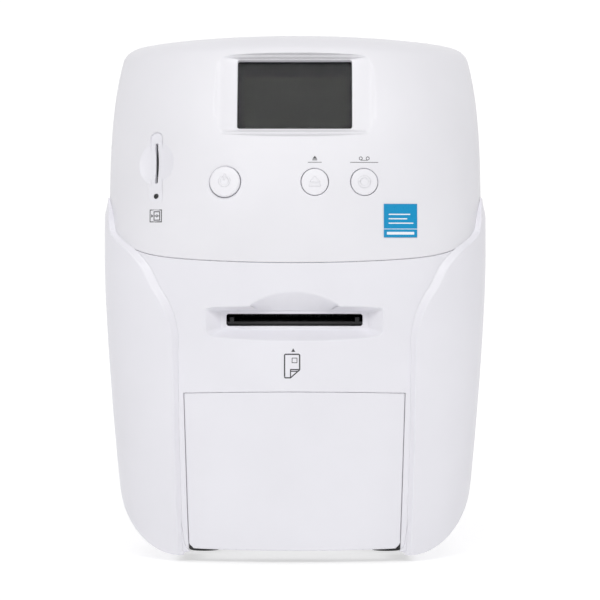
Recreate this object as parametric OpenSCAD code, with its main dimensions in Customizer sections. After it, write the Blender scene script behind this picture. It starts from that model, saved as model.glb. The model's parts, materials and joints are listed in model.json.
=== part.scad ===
// Desktop card printer: a bulged casing with a hinged top cover, two side panels that wrap
// the lower body, a fold-down front door, a rear card hopper under its own lid, and inside it
// the card transport, the ribbon cassette and the print head that hangs from the cover.
// +X is the user's right, +Y points to the back, +Z up. The origin is on the table, mid footprint.

/* [Body] */
// Width over the side panels
body_w = 176.4; // [170:0.2:190]
// Depth from the bulge of the front to the back
body_d = 372; // [366:1:390]
// Height from the table to the crown of the cover
body_h = 240.6; // [234:0.2:250]
// Wall of the casing mouldings
wall = 2.4; // [2:0.1:2.8]
// How far the side panels stand proud of the casing
panel_proud = 2.1; // [2:0.1:3]
// Gap along the seams between casing mouldings
seam_gap = 0.5; // [0.4:0.1:0.8]
// Height of the rubber feet under the side panels
foot_h = 3; // [2.5:0.5:5]
// Diameter of each rubber foot
foot_d = 15; // [10:1:20]
// How far the front bulges, measured at its corners
front_bulge = 40; // [36:1:44]
// Radius of the edge round the top
top_edge_r = 7; // [6:0.5:8]
// Rise of the top's middle over its sides
top_crown = 3.6; // [3:0.2:4.4]
// How far the rear panel reaches forward
rear_depth = 16; // [12:1:20]

/* [Cover and seams] */
// Height of the seam below the cover, at the middle of the front
seam_z = 136; // [133:1:139]
// How much higher that seam ends at the shoulders
seam_rise = 30; // [28:0.5:32]
// Distance of the cover's hinge axis from the back of the body
hinge_from_back = 116; // [115:0.5:117]
// Height of the hinge axis below the crown
hinge_below_top = 12; // [12:0.5:13]
// Radius of the hinge pins
hinge_pin_r = 3; // [2.5:0.1:3.4]

/* [Front panel] */
// Width of the card slot
slot_w = 61.8; // [58:0.2:64]
// Height of the card slot
slot_h = 5.5; // [5:0.1:6.5]
// Height of the card path above the table
path_z = 110; // [109:0.5:111]
// Depth of the recess round the card slot
slot_recess = 8; // [6:0.5:9]
// Height of the front door's top edge
door_top_z = 77.6; // [76:0.2:79]
// Width of the front door at its top edge
door_w = 100.2; // [98:0.2:101]
// How much narrower the door is at its bottom
door_taper = 4.4; // [3:0.2:5]
// Radius of the door's hinge pins
door_pin_r = 2; // [1.6:0.1:2.4]

/* [Controls] */
// Width of the display window
window_w = 52.4; // [50:0.2:56]
// Height of the display window along its own face
window_h = 34.6; // [33:0.2:36]
// Height from the middle of the display window up to the top
window_below_top = 27.6; // [26.6:0.2:28.6]
// Radius of the power button
power_r = 7; // [6:0.1:8]
// Radius of the two smaller buttons
button_r = 6.1; // [5:0.1:6.6]
// Height from the row of buttons up to the top
button_below_top = 68.1; // [66.6:0.5:69.6]
// Travel of each button
button_travel = 1.2; // [0.8:0.1:1.5]
// Distance of the chip slot to the left of the middle
chip_x = 63.4; // [62.4:0.5:64.4]
// Height from the chip slot's middle up to the top
chip_below_top = 59.7; // [58.2:0.5:61.2]

/* [Transport] */
// Width of a card
card_w = 54; // [53.9:0.1:54.1]
// Length of a card
card_l = 85.6; // [85.4:0.1:85.8]
// Thickness of a card
card_t = 0.76; // [0.7:0.02:0.9]
// Radius of the driven rubber rollers
roller_r = 7; // [6.6:0.1:7.4]
// Radius of the roller shafts
shaft_r = 3; // [2.6:0.1:3.4]
// Radius of the pinch rollers
pinch_r = 5; // [4.6:0.1:5.4]
// Radius of the belt pulleys
pulley_r = 8; // [7.6:0.1:8.4]
// Distance between the inner faces of the chassis plates
chassis_in = 92; // [91:0.5:94]
// Thickness of the chassis sheet
sheet_t = 1.5; // [1.2:0.1:1.8]
// Running clearance round a turning shaft
run_gap = 0.05; // [0.03:0.01:0.08]
// Radius of the ribbon roll that is left on the supply spool
supply_r = 14; // [12:0.5:15]
// Radius of the used ribbon on the take-up spool
takeup_r = 10; // [8:0.5:12]
// How far the print head is lifted clear of the ribbon at rest
head_lift = 3; // [2.6:0.1:3.2]

/* [Hidden] */
$fn = 48;
fit_gap = 0.3;         // between mouldings that pass or nest
touch_gap = 0.3;       // between a side panel and the casing under it
front_y = -body_d / 2;
back_y = body_d / 2;
core_half = body_w / 2 - panel_proud;   // half the casing's width, under the side panels
waist_z = 137;         // height at which the body is widest
front_power = 2.3;     // exponent of the front's plan curve
back_bulge = 12;       // depth of the back's plan curve
back_power = 3;
upper_pull = 5;        // how far the sides lean in at the top
lower_pull = 10.2;     // and at the bottom, before the bottom curve
bottom_curve_h = 32;   // height of the big rounded corners at the bottom
bottom_curve_w = 25;   // and their width
crease_z = 25.5;       // below this height the front leans in
crease_lean = 0.14;
front_lean = 0.0026;   // how fast the front leans back above the seam
shoulder_z = seam_z + seam_rise;
fascia_end = front_y + 46;       // back edge of the front moulding, along the sides
rear_start = back_y - rear_depth;

// ---- The casing's outer form: rings of points, one above the other ----
front_n = 30;
back_n = 10;
function smooth(t) = let (c = min(1, max(0, t))) c * c * (3 - 2 * c);
// Half the width at height z, before the big curves at the bottom
function side_x(z) = core_half
    - upper_pull * pow(max(0, z - waist_z - 10) / (body_h - waist_z - 20.6), 3.8)
    - lower_pull * pow(max(0, waist_z - z) / (waist_z - foot_h), 1.5);
// And with them, for a surface that lies s inside the skin of the side panels
function half_x(z, s) = let (h = bottom_curve_h - s,
    u = min(1, max(0, (foot_h + bottom_curve_h - z) / h)))
    side_x(z) + panel_proud - s - (bottom_curve_w - s) * (1 - sqrt(1 - u * u));
// How far the middle of the front stands back from the foremost plane at height z
function front_in(z) = crease_lean * max(0, crease_z - z) + front_lean * pow(max(0, z - seam_z), 2);
// Depth of the plan curve at x, on a side of half width w
function plan_in(x, w, depth, power) =
    depth * (1 - pow(max(0, 1 - pow(min(1, abs(x) / w), power)), 1 / power));
// The front surface at (x, z), with the casing drawn in by o
function front_at(x, z, o = 0) = front_y + o + front_in(z)
    + plan_in(x, side_x(z) - o, front_bulge, front_power);
// Slopes of the front surface, in degrees: back from the vertical, and round to the side
function tilt_at(z) = atan(2 * front_lean * max(0, z - seam_z));
function yaw_at(x, z) = atan((front_at(x + 1, z) - front_at(x - 1, z)) / 2);
// What is left of the side panels' thickness at height z: they swell out below their top edge
function panel_out(z) = panel_proud * (0.3 + 0.7 * smooth((shoulder_z + 1 - z) / 11));

// A ring: edge 0 keeps to height z, edge 1 follows the crown and rounds the top edge by phi,
// edge 2 lies on the top, drawn in by a share
function ring(edge, v, o, p) = [
    for (j = [0:front_n + back_n + 1])
        let (
            front = j <= front_n,
            t = front ? -90 + 180 * j / front_n : 90 + 180 * (j - front_n - 1) / back_n,
            f = sin(t),
            r = max(1, top_edge_r - o),
            drop = edge == 1 ? r * (1 - sin(v)) : 0,
            inset = edge == 0 ? 0 : edge == 1 ? r * (1 - cos(v)) : r,
            z = edge == 0 ? v : body_h - o - top_crown * f * f - drop,
            skin = o - (p == 0 ? 0 : panel_out(z)),
            side = side_x(z) - skin,
            x = (half_x(z, panel_proud + skin) - inset) * f,
            y_front = front_y + front_in(z) + skin + inset + plan_in(x, side - inset, front_bulge,
                front_power),
            y_back = back_y - max(0, o) - inset - plan_in(x, side - inset, back_bulge, back_power),
            y = front ? y_front : y_back,
            g = edge == 2 ? v : 0
        )
        [x * (1 - g), y * (1 - g * 0.2), edge == 2 ? body_h - o - top_crown * pow(f * (1 - g), 2) : z]
];
level_list = [50, 64, 78, 92, 106, 120, waist_z, 149, shoulder_z, 171, 183, 195, 206, 216, 224];
// The heights of the rings of a casing that lies s inside the skin
function levels(s, low) = let (base = foot_h + s, span = bottom_curve_h - s,
    top = body_h - top_edge_r - top_crown - 1)
    concat(
        low > 0 ? [low] : [],
        low > base ? [] : [for (u = [0, 0.02, 0.09, 0.2, 0.36, 0.6, 1]) base + u * span],
        [for (z = level_list) if (z > low + 2 && z < top) z]
    );
// The casing drawn in by o, from the height low up to high; p = 1 for the side panels' skin
module casing(o = 0, p = 0, low = 0, high = 999) {
    zs = levels(o + (p == 0 ? panel_proud : 0), low);
    edge = shoulder_z;
    cuts = p == 0 ? [] : [for (d = [10, 8, 6, 4, 2, 0.4]) edge - d];
    all = concat([for (z = zs) if (z < (p == 0 ? high : edge - 11)) [0, z]],
        [for (z = cuts) if (z < high) [0, z]]);
    rings = high < body_h ? concat(all, [[0, high]])
        : concat(all, [for (phi = [0, 30, 60, 90]) [1, phi]], [[2, 0.4], [2, 0.8]]);
    n = front_n + back_n + 2;
    m = len(rings);
    sides = [for (r = rings) each ring(r[0], r[1], o, p)];
    points = concat(sides, [[0, 0, zs[0]], [0, 0, high < body_h ? high : body_h - o]]);
    bottom = m * n;
    faces = concat(
        [for (k = [0:m - 2], j = [0:n - 1]) let (a = k * n + j, b = k * n + (j + 1) % n)
            each [[a, a + n, b + n], [a, b + n, b]]],
        [for (j = [0:n - 1]) [bottom, j, (j + 1) % n]],
        [for (j = [0:n - 1]) let (k = (m - 1) * n) [bottom + 1, k + (j + 1) % n, k + j]]
    );
    polyhedron(points, faces);
}

// ---- Building blocks ----
module box(x0, x1, y0, y1, z0, z1) {
    translate([x0, y0, z0])
        cube([x1 - x0, y1 - y0, z1 - z0]);
}
module rod(r, x0, x1, y, z) {
    translate([x0, y, z])
        rotate([0, 90, 0])
            cylinder(r = r, h = x1 - x0);
}
// A front-view outline (x, z) carried from y0 to y1, and a side-view outline (y, z) from x0 to x1
module along_y(y0, y1) {
    translate([0, y1, 0])
        rotate([90, 0, 0])
            linear_extrude(y1 - y0)
                children();
}
module along_x(x0, x1) {
    translate([x0, 0, 0])
        rotate([90, 0, 90])
            linear_extrude(x1 - x0)
                children();
}
// The same on both sides
module both() {
    children();
    mirror([1, 0, 0])
        children();
}
// A place on the front surface: local -Y points straight out of it
module on_front(x, z) {
    translate([x, front_at(x, z), z])
        rotate([0, 0, yaw_at(x, z)])
            rotate([-tilt_at(z), 0, 0])
                children();
}
module rounded(w, h, r) {
    offset(r = r)
        square([w - 2 * r, h - 2 * r], center = true);
}

// ---- The seams, in the front view ----
function seam_at(x) = let (u = min(1, abs(x) / core_half))
    seam_z + seam_rise * (0.16 * u * u + 0.43 * pow(u, 10) + 0.41 * pow(u, 120));
seam_points = [for (t = [-90:7.5:90]) core_half * sin(t)];
module below_seam(d) {
    polygon(concat([[-120, -20], [-120, shoulder_z + d]], [for (x = seam_points) [x, seam_at(x) + d]],
        [[120, shoulder_z + d], [120, -20]]));
}
module above_seam(d) {
    polygon(concat([[-120, 260], [-120, shoulder_z + d]], [for (x = seam_points) [x, seam_at(x) + d]],
        [[120, shoulder_z + d], [120, 260]]));
}
seam_flat_y = front_y + 42;      // behind this the seam runs level along the sides
// The inner edge of a side panel: nearly upright, an arc, then up and out to the shoulder
wing_in = door_w / 2 + 2;                 // where it starts, beside the door
wing_k = (core_half - wing_in) / 34;      // its form is drawn on a strip 34 wide
module wing_area() {
    polygon(concat(
        [[wing_in, -5], [wing_in, 6], [wing_in + 1.5 * wing_k, 54.8]],
        [for (a = [186:-4:142]) [wing_in + (41.8 + 40 * cos(a)) * wing_k, seam_z - 36 + 40 * sin(a)]],
        [for (p = [[15, -1.8], [21.7, 5.7], [29, 10.8], [32.3, 14.5], [33.4, 21]])
            [wing_in + p[0] * wing_k, seam_z + p[1]]],
        [[core_half, shoulder_z], [core_half, shoulder_z + 20], [110, shoulder_z + 20], [110, -5]]));
}

// ---- Door ----
door_bottom_z = foot_h + 2.6;
door_axis_y = front_y + 9.5;
door_axis_z = foot_h + 10;
module door_area(d) {
    w = door_w / 2 + d;
    v = w - door_taper / 2;
    polygon([[-w, door_top_z - 0.8 + d], [-w * 0.5, door_top_z - 0.2 + d], [0, door_top_z + d],
        [w * 0.5, door_top_z - 0.2 + d], [w, door_top_z - 0.8 + d],
        [v + 0.2, door_bottom_z + 3 - d], [v - 2.4, door_bottom_z + 0.6 - d], [0, door_bottom_z - d],
        [-v + 2.4, door_bottom_z + 0.6 - d], [-v - 0.2, door_bottom_z + 3 - d]]);
}

// ---- Hinges of the cover and of the hopper lid ----
cover_y = back_y - hinge_from_back;
cover_z = body_h - hinge_below_top;
tail_r = hinge_below_top;                 // the cover's round tail about its hinge
split_y = cover_y + tail_r + seam_gap;    // front edge of the rear housing
lid_r = 8;
lid_y = back_y - 18;
lid_z = body_h - lid_r;
lid_half = 35;
lid_front = split_y + 7;
lid_pin_r = 2.4;

// ---- Transport ----
card_top = path_z + card_t / 2 + 0.02;
card_bottom = path_z - card_t / 2 - 0.02;
roller_z = card_bottom - roller_r;
pinch_z = card_top + pinch_r;
plate_x = chassis_in / 2;                 // inner face of a chassis plate
plate_out = plate_x + sheet_t;
exit_y = front_y + 34;
platen_y = front_y + 136;
front_roll_y = platen_y - 42;
rear_roll_y = platen_y + 36;
inlet_y = back_y - 128;
pick_y = back_y - 68;
roller_ys = [exit_y, front_roll_y, platen_y, rear_roll_y, inlet_y, pick_y];
pinch_ys = [exit_y, front_roll_y, rear_roll_y];
clean_r = 7;
clean_z = card_top + clean_r;
bearing_r = shaft_r + 2.5;
pinch_shaft_r = 2;
belt_x0 = -plate_out - 10.5;
belt_x1 = -plate_out - 3;
motor_y = platen_y + 30;
motor_z = 70;
motor_pulley_r = 7;
floor_z = foot_h + panel_proud + wall;    // top of the tray's floor
track_t = 1.4;
track_top = card_bottom - 0.4;
gate_y = front_roll_y - 42;
gate_z = track_top - track_t - 2.8;

// ---- Hopper ----
hopper_y1 = back_y - 12.9;
hopper_y0 = hopper_y1 - card_l - 2;
hopper_half = card_w / 2 + 0.6;
hopper_wall = 1.5;
hopper_top = 196;

// ---- Ribbon and head ----
supply_y = platen_y + 52;
takeup_y = platen_y - 68;
spool_z = 150;
film_half = card_w / 2 + 1;
cassette_in = 40;
bar_r = 2.5;
film_z = card_top + 0.5;                  // underside of the film between the two guide bars
film_t = 0.3;
bar_z = film_z + film_t + bar_r + 0.05;
bar_ys = [platen_y + 23, platen_y - 23];
head_y = platen_y;
head_z = film_z + film_t + 0.2 + head_lift;   // underside of the print head at rest
cam_z = 172;
cam_r = 8;
cam_off = head_lift / 2;
cam_play = 0.45;
bracket_x = 36;
bracket_top = body_h - 8.5;              // the bracket hangs from posts under the cover's top
gear_x0 = -plate_x + 0.8;
gear_x1 = -cassette_in - 2.7;
takeup_gear_r = 12;
ribbon_gear_r = 6;
gear_run = 0.4;
ribbon_gear_y = takeup_y - (takeup_gear_r + ribbon_gear_r + gear_run) * 0.7071;
ribbon_gear_z = spool_z - (takeup_gear_r + ribbon_gear_r + gear_run) * 0.7071;

// ---- Controls ----
power_x = -31.4;
eject_x = 9.2;
ribbon_x = 31.6;
window_z = body_h - window_below_top;
button_z = body_h - button_below_top;
chip_z = body_h - chip_below_top;
board_tilt = 16;
board_z = window_z - 22;
board_y = front_at(0, board_z) + 20;
screen_depth = 4.5;                       // of the recess round the display window
mouth_low = 3.95;                         // how far the recess opens out below the window

// ================= Casing mouldings =================
module base_tray() {
    color([0.86, 0.86, 0.88])
        union() {
            difference() {
                intersection() {
                    casing(0, 0, 0, 40);
                    box(-100, 100, fascia_end, rear_start, 0, 26);
                }
                casing(wall, 0, 0, 60);
                both() {
                    for (y = [-60:24:60])
                        box(18, 40, y, y + 5, 0, 12);
                }
            }
            box(-44, 44, front_y + 21, fascia_end, foot_h + panel_proud, floor_z);
            both() {
                difference() {
                    union() {
                        box(25, 28, door_axis_y, front_y + 24, door_axis_z - 3, door_axis_z + 3);
                        rod(3, 25, 28, door_axis_y, door_axis_z);
                        box(25, 28, front_y + 21, front_y + 30, floor_z, door_axis_z + 3);
                    }
                    rod(door_pin_r + run_gap, 24, 29, door_axis_y, door_axis_z);
                }
            }
        }
}

module rubber_feet() {
    color([0.12, 0.12, 0.13])
        both()
            for (y = [front_y + 64, back_y - 40])
                translate([wing_in - foot_d / 2 - 1.6, y, 0])
                    cylinder(d = foot_d, h = foot_h + panel_proud);
}

// The recess round the card slot, its thumb scoop and the slot itself
scoop_r = 35;
module slot_cut() {
    deep = front_y + slot_recess;
    hull() {
        along_y(front_y - 3, front_y - 2.9)
            polygon([[-50, path_z + 7.9], [50, path_z + 7.9], [48.8, path_z - 7.6], [45, path_z - 11.4],
                [-45, path_z - 11.4], [-48.8, path_z - 7.6]]);
        along_y(deep - 0.1, deep)
            polygon([[-33.5, path_z + 4.2], [33.5, path_z + 4.2],
                [33.5, path_z - 4.2], [-33.5, path_z - 4.2]]);
    }
    hull() {
        along_y(front_y - 3, front_y - 2.9)
            polygon([for (a = [50:8:130]) [scoop_r * cos(a), path_z + 15.6 - scoop_r + scoop_r * sin(a)]]);
        along_y(deep - 0.1, deep)
            polygon([[-16, path_z + 4.2], [16, path_z + 4.2], [16, path_z + 3], [-16, path_z + 3]]);
    }
    along_y(front_y, front_y + 30)
        translate([0, path_z])
            rounded(slot_w, slot_h, 1.2);
}

module front_fascia() {
    color([0.89, 0.89, 0.91])
        difference() {
            intersection() {
                union() {
                    difference() {
                        casing(0, 0, 0, shoulder_z + 4);
                        casing(wall, 0, 0, shoulder_z + 9);
                    }
                    intersection() {
                        casing(0, 0, 40, shoulder_z + 4);
                        box(-45.5, 45.5, front_y - 1, front_y + slot_recess + wall, path_z - 14,
                            path_z + 20);
                    }
                }
                along_y(front_y - 1, fascia_end)
                    below_seam(-seam_gap / 2);
            }
            along_y(front_y - 5, front_y + 30)
                door_area(seam_gap);
            box(-46, 46, front_y - 1, fascia_end + 1, 0, 14);
            slot_cut();
        }
}

module side_panel() {
    difference() {
        intersection() {
            casing(0, 1, 0, shoulder_z - seam_gap / 2);
            along_y(front_y - 1, rear_start - seam_gap)
                wing_area();
            union() {
                along_y(front_y - 1, seam_flat_y)
                    below_seam(-seam_gap / 2);
                box(0, 110, seam_flat_y, back_y, 0, shoulder_z - seam_gap);
            }
        }
        casing(-touch_gap, 0, 0, shoulder_z + 6);
    }
}
module right_panel() {
    color([0.9, 0.9, 0.92])
        side_panel();
}
module left_panel() {
    color([0.9, 0.9, 0.92])
        mirror([1, 0, 0])
            side_panel();
}

// Rear openings: inlet and ports between the chassis plates, vents beside them
inlet_x = -28;
inlet_z = 36;
ports_x = 22;
ports_z = 34;
vent_z = 62;
screw_places = [[-60, 26], [60, 26], [-60, 140], [60, 140]];
// The seat of a screw head, sunk into the rear panel
function screw_y(p) = back_y - 1.3 - plan_in(p[0], side_x(p[1]) + panel_proud, back_bulge, back_power);
module rear_panel() {
    color([0.88, 0.88, 0.9])
        difference() {
            intersection() {
                casing(0, 1, 0, shoulder_z);
                box(-110, 110, rear_start, back_y + 1, 0, shoulder_z);
            }
            casing(wall, 0, 0, shoulder_z + 10);
            box(inlet_x - 14, inlet_x + 14, back_y - 20, back_y + 2, inlet_z - 12, inlet_z + 12);
            box(ports_x - 22, ports_x + 22, back_y - 20, back_y + 2, ports_z - 9, ports_z + 9);
            for (i = [0:5])
                box(50, 76, back_y - 20, back_y + 2, vent_z + i * 5.5, vent_z + i * 5.5 + 2.5);
            for (i = [0:5])
                box(-76, -50, back_y - 20, back_y + 2, vent_z + i * 5.5, vent_z + i * 5.5 + 2.5);
            for (p = screw_places)
                translate([p[0], screw_y(p), p[1]])
                    rotate([90, 0, 0]) {
                        cylinder(r = 1.7, h = 20);
                        translate([0, 0, -5])
                            cylinder(r = 3.1, h = 5);
                    }
        }
}

module rear_housing() {
    color([0.9, 0.9, 0.92])
        union() {
            difference() {
                intersection() {
                    casing(0, 0, shoulder_z - 10);
                    box(-110, 110, split_y, back_y + 1, shoulder_z, body_h + 1);
                }
                casing(wall, 0, shoulder_z - 20);
                box(-lid_half - seam_gap, lid_half + seam_gap, lid_front - seam_gap,
                    lid_y + lid_r + seam_gap,
                    body_h - 22, body_h + 1);
            }
            both()
                intersection() {
                    casing(wall / 2, 0, shoulder_z);
                    difference() {
                        box(lid_half + seam_gap, lid_half + 4.5, lid_y - 7, lid_y + 7, lid_z - 6, body_h);
                        rod(lid_pin_r + run_gap, lid_half, lid_half + 3.6, lid_y, lid_z);
                    }
                }
        }
}

module hopper_lid() {
    under = body_h - wall - 0.9;
    color([0.91, 0.91, 0.93])
        union() {
            intersection() {
                casing(0, 0, shoulder_z);
                difference() {
                    union() {
                        box(-lid_half, lid_half, lid_front, lid_y, body_h - 9, body_h + 1);
                        rod(lid_r, -lid_half, lid_half, lid_y, lid_z);
                    }
                    box(-lid_half + 2, lid_half - 2, lid_front + 2, lid_y, lid_z - 9, under);
                    rod(lid_r - wall, -lid_half + 2, lid_half - 2, lid_y, lid_z);
                }
            }
            both()
                rod(lid_pin_r, lid_half - 0.5, lid_half + 3.3, lid_y, lid_z);
        }
}

module front_door() {
    color([0.905, 0.905, 0.925])
        union() {
            intersection() {
                difference() {
                    casing(0, 0, 0, 90);
                    casing(wall, 0, 4, 91);
                }
                along_y(front_y - 1, front_y + 24)
                    door_area(0);
            }
            both() {
                difference() {
                    hull() {
                        rod(3, 20.5, 24, door_axis_y, door_axis_z);
                        box(20.5, 24, front_y + wall + 1.4, front_y + wall + 2, door_axis_z - 3,
                            door_axis_z + 8);
                    }
                    box(20, 25, front_y, front_y + 3, 0, 40);
                }
                rod(door_pin_r, 23.5, 28.6, door_axis_y, door_axis_z);
            }
        }
}

// ================= Cover =================
module window_outline(w, h, y) {
    translate([0, y, 0])
        rotate([90, 0, 0])
            linear_extrude(0.1)
                rounded(w, h, 1);
}
module window_cut() {
    on_front(0, window_z + 1.6) {
        hull() {
            translate([0, 0, -mouth_low])
                window_outline(window_w + 76, window_h + 13, -4);
            window_outline(window_w + 1, window_h + 1, screen_depth);
        }
        window_outline(window_w, window_h, screen_depth + 5);
        translate([0, screen_depth + 5, 0])
            rotate([90, 0, 0])
                linear_extrude(8)
                    rounded(window_w, window_h, 1);
    }
}
module button_hole(x, r) {
    on_front(x, button_z)
        rotate([90, 0, 0])
            translate([0, 0, -12])
                cylinder(r = r, h = 20);
}
// The chip slot stands upright in the front view
module at_chip() {
    on_front(-chip_x, chip_z)
        rotate([0, atan(tan(yaw_at(-chip_x, chip_z)) * sin(tilt_at(chip_z))), 0])
            children();
}
module chip_cut() {
    at_chip() {
        translate([0, -28.1, 0])
            sphere(r = 30, $fn = 120);
        box(-0.6, 0.6, -3, 14, -9, 10);
        hull()
            for (z = [-15.6, 12.2])
                translate([0, 1, z])
                    rotate([90, 0, 0])
                        cylinder(r = 2.9, h = 5);
        translate([0, 3, -15])
            rotate([90, 0, 0])
                cylinder(r = 1, h = 5);
    }
}
post_low = button_z - board_z - 10;       // the lower posts keep clear of the buttons' flanges
post_places = [[-40.5, post_low], [40.5, post_low], [-40.5, 27], [40.5, 27]];
module top_cover() {
    color([0.94, 0.94, 0.95])
        difference() {
            union() {
                difference() {
                    intersection() {
                        casing(0, 0, seam_z - 12);
                        union() {
                            along_y(front_y - 1, seam_flat_y)
                                above_seam(seam_gap / 2);
                            box(-110, 110, seam_flat_y - 0.1, cover_y, shoulder_z + seam_gap / 2,
                                body_h + 1);
                            intersection() {
                                box(-110, 110, cover_y - 0.1, cover_y + tail_r, shoulder_z, cover_z);
                                rod(cover_z - shoulder_z - 0.3, -100, 100, cover_y, cover_z);
                            }
                            rod(tail_r, -100, 100, cover_y, cover_z);
                        }
                    }
                    difference() {
                        casing(wall, 0, seam_z - 22);
                        difference() {
                            box(-100, 100, cover_y, cover_y + tail_r, cover_z, body_h);
                            rod(tail_r - wall, -101, 101, cover_y, cover_z);
                        }
                    }
                }
                intersection() {
                    casing(0.2, 0, seam_z);
                    union() {
                        on_front(0, window_z + 1.6)
                            box(-41, 41, -6, screen_depth + 2, -22, 22);
                        both() {
                            box(49, 52, cover_y - 16, cover_y, cover_z, body_h);
                            rod(7, 49, 52, cover_y, cover_z);
                            for (y = [head_y - 28, head_y + 24])
                                translate([32, y, bracket_top])
                                    cylinder(r = 4, h = 9);
                        }
                        translate([0, board_y, board_z])
                            rotate([-board_tilt, 0, 0])
                                for (p = post_places)
                                    translate([p[0], 0, p[1]])
                                        rotate([90, 0, 0])
                                            cylinder(r = 2.5, h = 30);
                    }
                }
                both()
                    rod(hinge_pin_r, plate_x - 1, 50, cover_y, cover_z);
            }
            window_cut();
            button_hole(power_x, power_r + 0.5);
            button_hole(eject_x, button_r + 0.5);
            button_hole(ribbon_x, button_r + 0.5);
            chip_cut();
        }
}

module display_lens() {
    color([0.16, 0.18, 0.18])
        on_front(0, window_z + 1.6)
            box(-window_w / 2 - 3, window_w / 2 + 3, screen_depth + 2, screen_depth + 3.2,
                -window_h / 2 - 2,
                window_h / 2 + 2);
}
module display_panel() {
    color([0.25, 0.27, 0.28])
        on_front(0, window_z + 1.6)
            box(-window_w / 2 - 4, window_w / 2 + 4, screen_depth + 3.2, screen_depth + 8,
                -window_h / 2 - 3,
                window_h / 2 + 3);
}
module control_board() {
    color([0.1, 0.35, 0.2])
        union() {
            translate([0, board_y, board_z])
                rotate([-board_tilt, 0, 0])
                    box(-43, 43, 0, 1.6, -31, 31);
            for (b = [[power_x, power_r], [eject_x, button_r], [ribbon_x, button_r]])
                intersection() {
                    on_front(b[0], button_z)
                        rotate([90, 0, 0])
                            translate([0, 0, -40])
                                cylinder(r = 3, h = 40 - 13 - button_travel);
                    translate([0, board_y, board_z])
                        rotate([-board_tilt, 0, 0])
                            box(-43, 43, -12, 0.1, -31, 31);
                }
        }
}
// A button: cap, flange that keeps it in the cover, and the stem behind it
module button(x, r, proud) {
    on_front(x, button_z)
        rotate([90, 0, 0]) {
            translate([0, 0, -6.8])
                cylinder(r = r, h = 6.8 + proud - 0.6);
            translate([0, 0, proud - 0.6])
                cylinder(r1 = r, r2 = r - 0.6, h = 0.6);
            translate([0, 0, -8])
                cylinder(r = r + 1.4, h = 1.3);
            translate([0, 0, -12.7])
                cylinder(r = 2.4, h = 8);
        }
}
module button_mark(x, proud) {
    on_front(x, button_z)
        rotate([90, 0, 0])
            translate([0, 0, proud - 0.1])
                linear_extrude(0.4)
                    children();
}
module power_button() {
    color([0.93, 0.93, 0.94])
        union() {
            button(power_x, power_r, 1.6);
            button_mark(power_x, 1.6) {
                difference() {
                    circle(r = 3.5);
                    circle(r = 2.6);
                    translate([-1.2, 0])
                        square([2.4, 4]);
                }
                translate([-0.45, 0.6])
                    square([0.9, 3.6]);
            }
        }
}
module eject_button() {
    color([0.9, 0.9, 0.92])
        union() {
            button(eject_x, button_r, 0.4);
            button_mark(eject_x, 0.4) {
                polygon([[-2.6, -0.2], [2.6, -0.2], [0, 2.6]]);
                translate([-2.6, -2])
                    square([5.2, 1]);
            }
        }
}
module ribbon_button() {
    color([0.9, 0.9, 0.92])
        union() {
            button(ribbon_x, button_r, 0.4);
            button_mark(ribbon_x, 0.4)
                difference() {
                    circle(r = 2.8);
                    circle(r = 1.8);
                }
        }
}
module chip_reader() {
    color([0.2, 0.2, 0.22])
        difference() {
            intersection() {
                casing(wall + 0.1, 0, chip_z - 30, chip_z + 30);
                at_chip()
                    box(-3.5, 3.5, 1, 34, -11, 11);
            }
            at_chip()
                box(-0.7, 0.7, 0, 30, -9.2, 9.2);
        }
}
module seal_label() {
    color([0.2, 0.42, 0.75])
        intersection() {
            difference() {
                casing(-0.4, 0, seam_z, seam_z + 40);
                casing(0, 0, seam_z - 4, seam_z + 44);
            }
            along_y(front_y - 1, front_y + 30)
                translate([48, seam_z + 19])
                    square([15.2, 15.2], center = true);
        }
}

// ================= Chassis =================
module chassis_outline() {
    polygon([[front_y + 36, floor_z], [back_y - 17, floor_z], [back_y - 17, 150], [cover_y + 19, 150],
        [cover_y + 1, 170], [cover_y + 1, cover_z - 4], [cover_y - 5, cover_z],
        [cover_y - 15, cover_z - 12],
        [cover_y - 16, 165], [cover_y - 30, 152], [front_y + 50, 152], [front_y + 36, 136]]);
    translate([cover_y, cover_z])
        circle(r = 7);
}
module chassis_holes() {
    for (y = roller_ys)
        translate([y, roller_z])
            circle(r = bearing_r + 0.02);
    for (y = pinch_ys)
        translate([y, pinch_z])
            circle(r = pinch_shaft_r + run_gap);
    translate([inlet_y, clean_z])
        circle(r = pinch_shaft_r + run_gap);
    translate([gate_y, gate_z])
        circle(r = pinch_shaft_r + run_gap);
    translate([cover_y, cover_z])
        circle(r = hinge_pin_r + run_gap);
    for (y = [-110, -70, 40, 90, 130])
        translate([y, 60])
            circle(r = 9);
}
module left_chassis() {
    color([0.7, 0.71, 0.73])
        along_x(-plate_out, -plate_x)
            difference() {
                chassis_outline();
                chassis_holes();
                translate([motor_y, motor_z])
                    circle(r = 7);
                translate([ribbon_gear_y, ribbon_gear_z])
                    circle(r = 4);
            }
}
module right_chassis() {
    color([0.7, 0.71, 0.73])
        along_x(plate_x, plate_out)
            difference() {
                chassis_outline();
                chassis_holes();
            }
}
module chassis_deck() {
    color([0.68, 0.69, 0.71])
        union() {
            box(-plate_x, plate_x, platen_y - 14, back_y - 106, 90, 91.5);
            box(-plate_x, plate_x, platen_y - 14, platen_y - 12.5, 80, 90);
            box(-plate_x, plate_x, back_y - 107.5, back_y - 106, 80, 90);
        }
}
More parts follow.
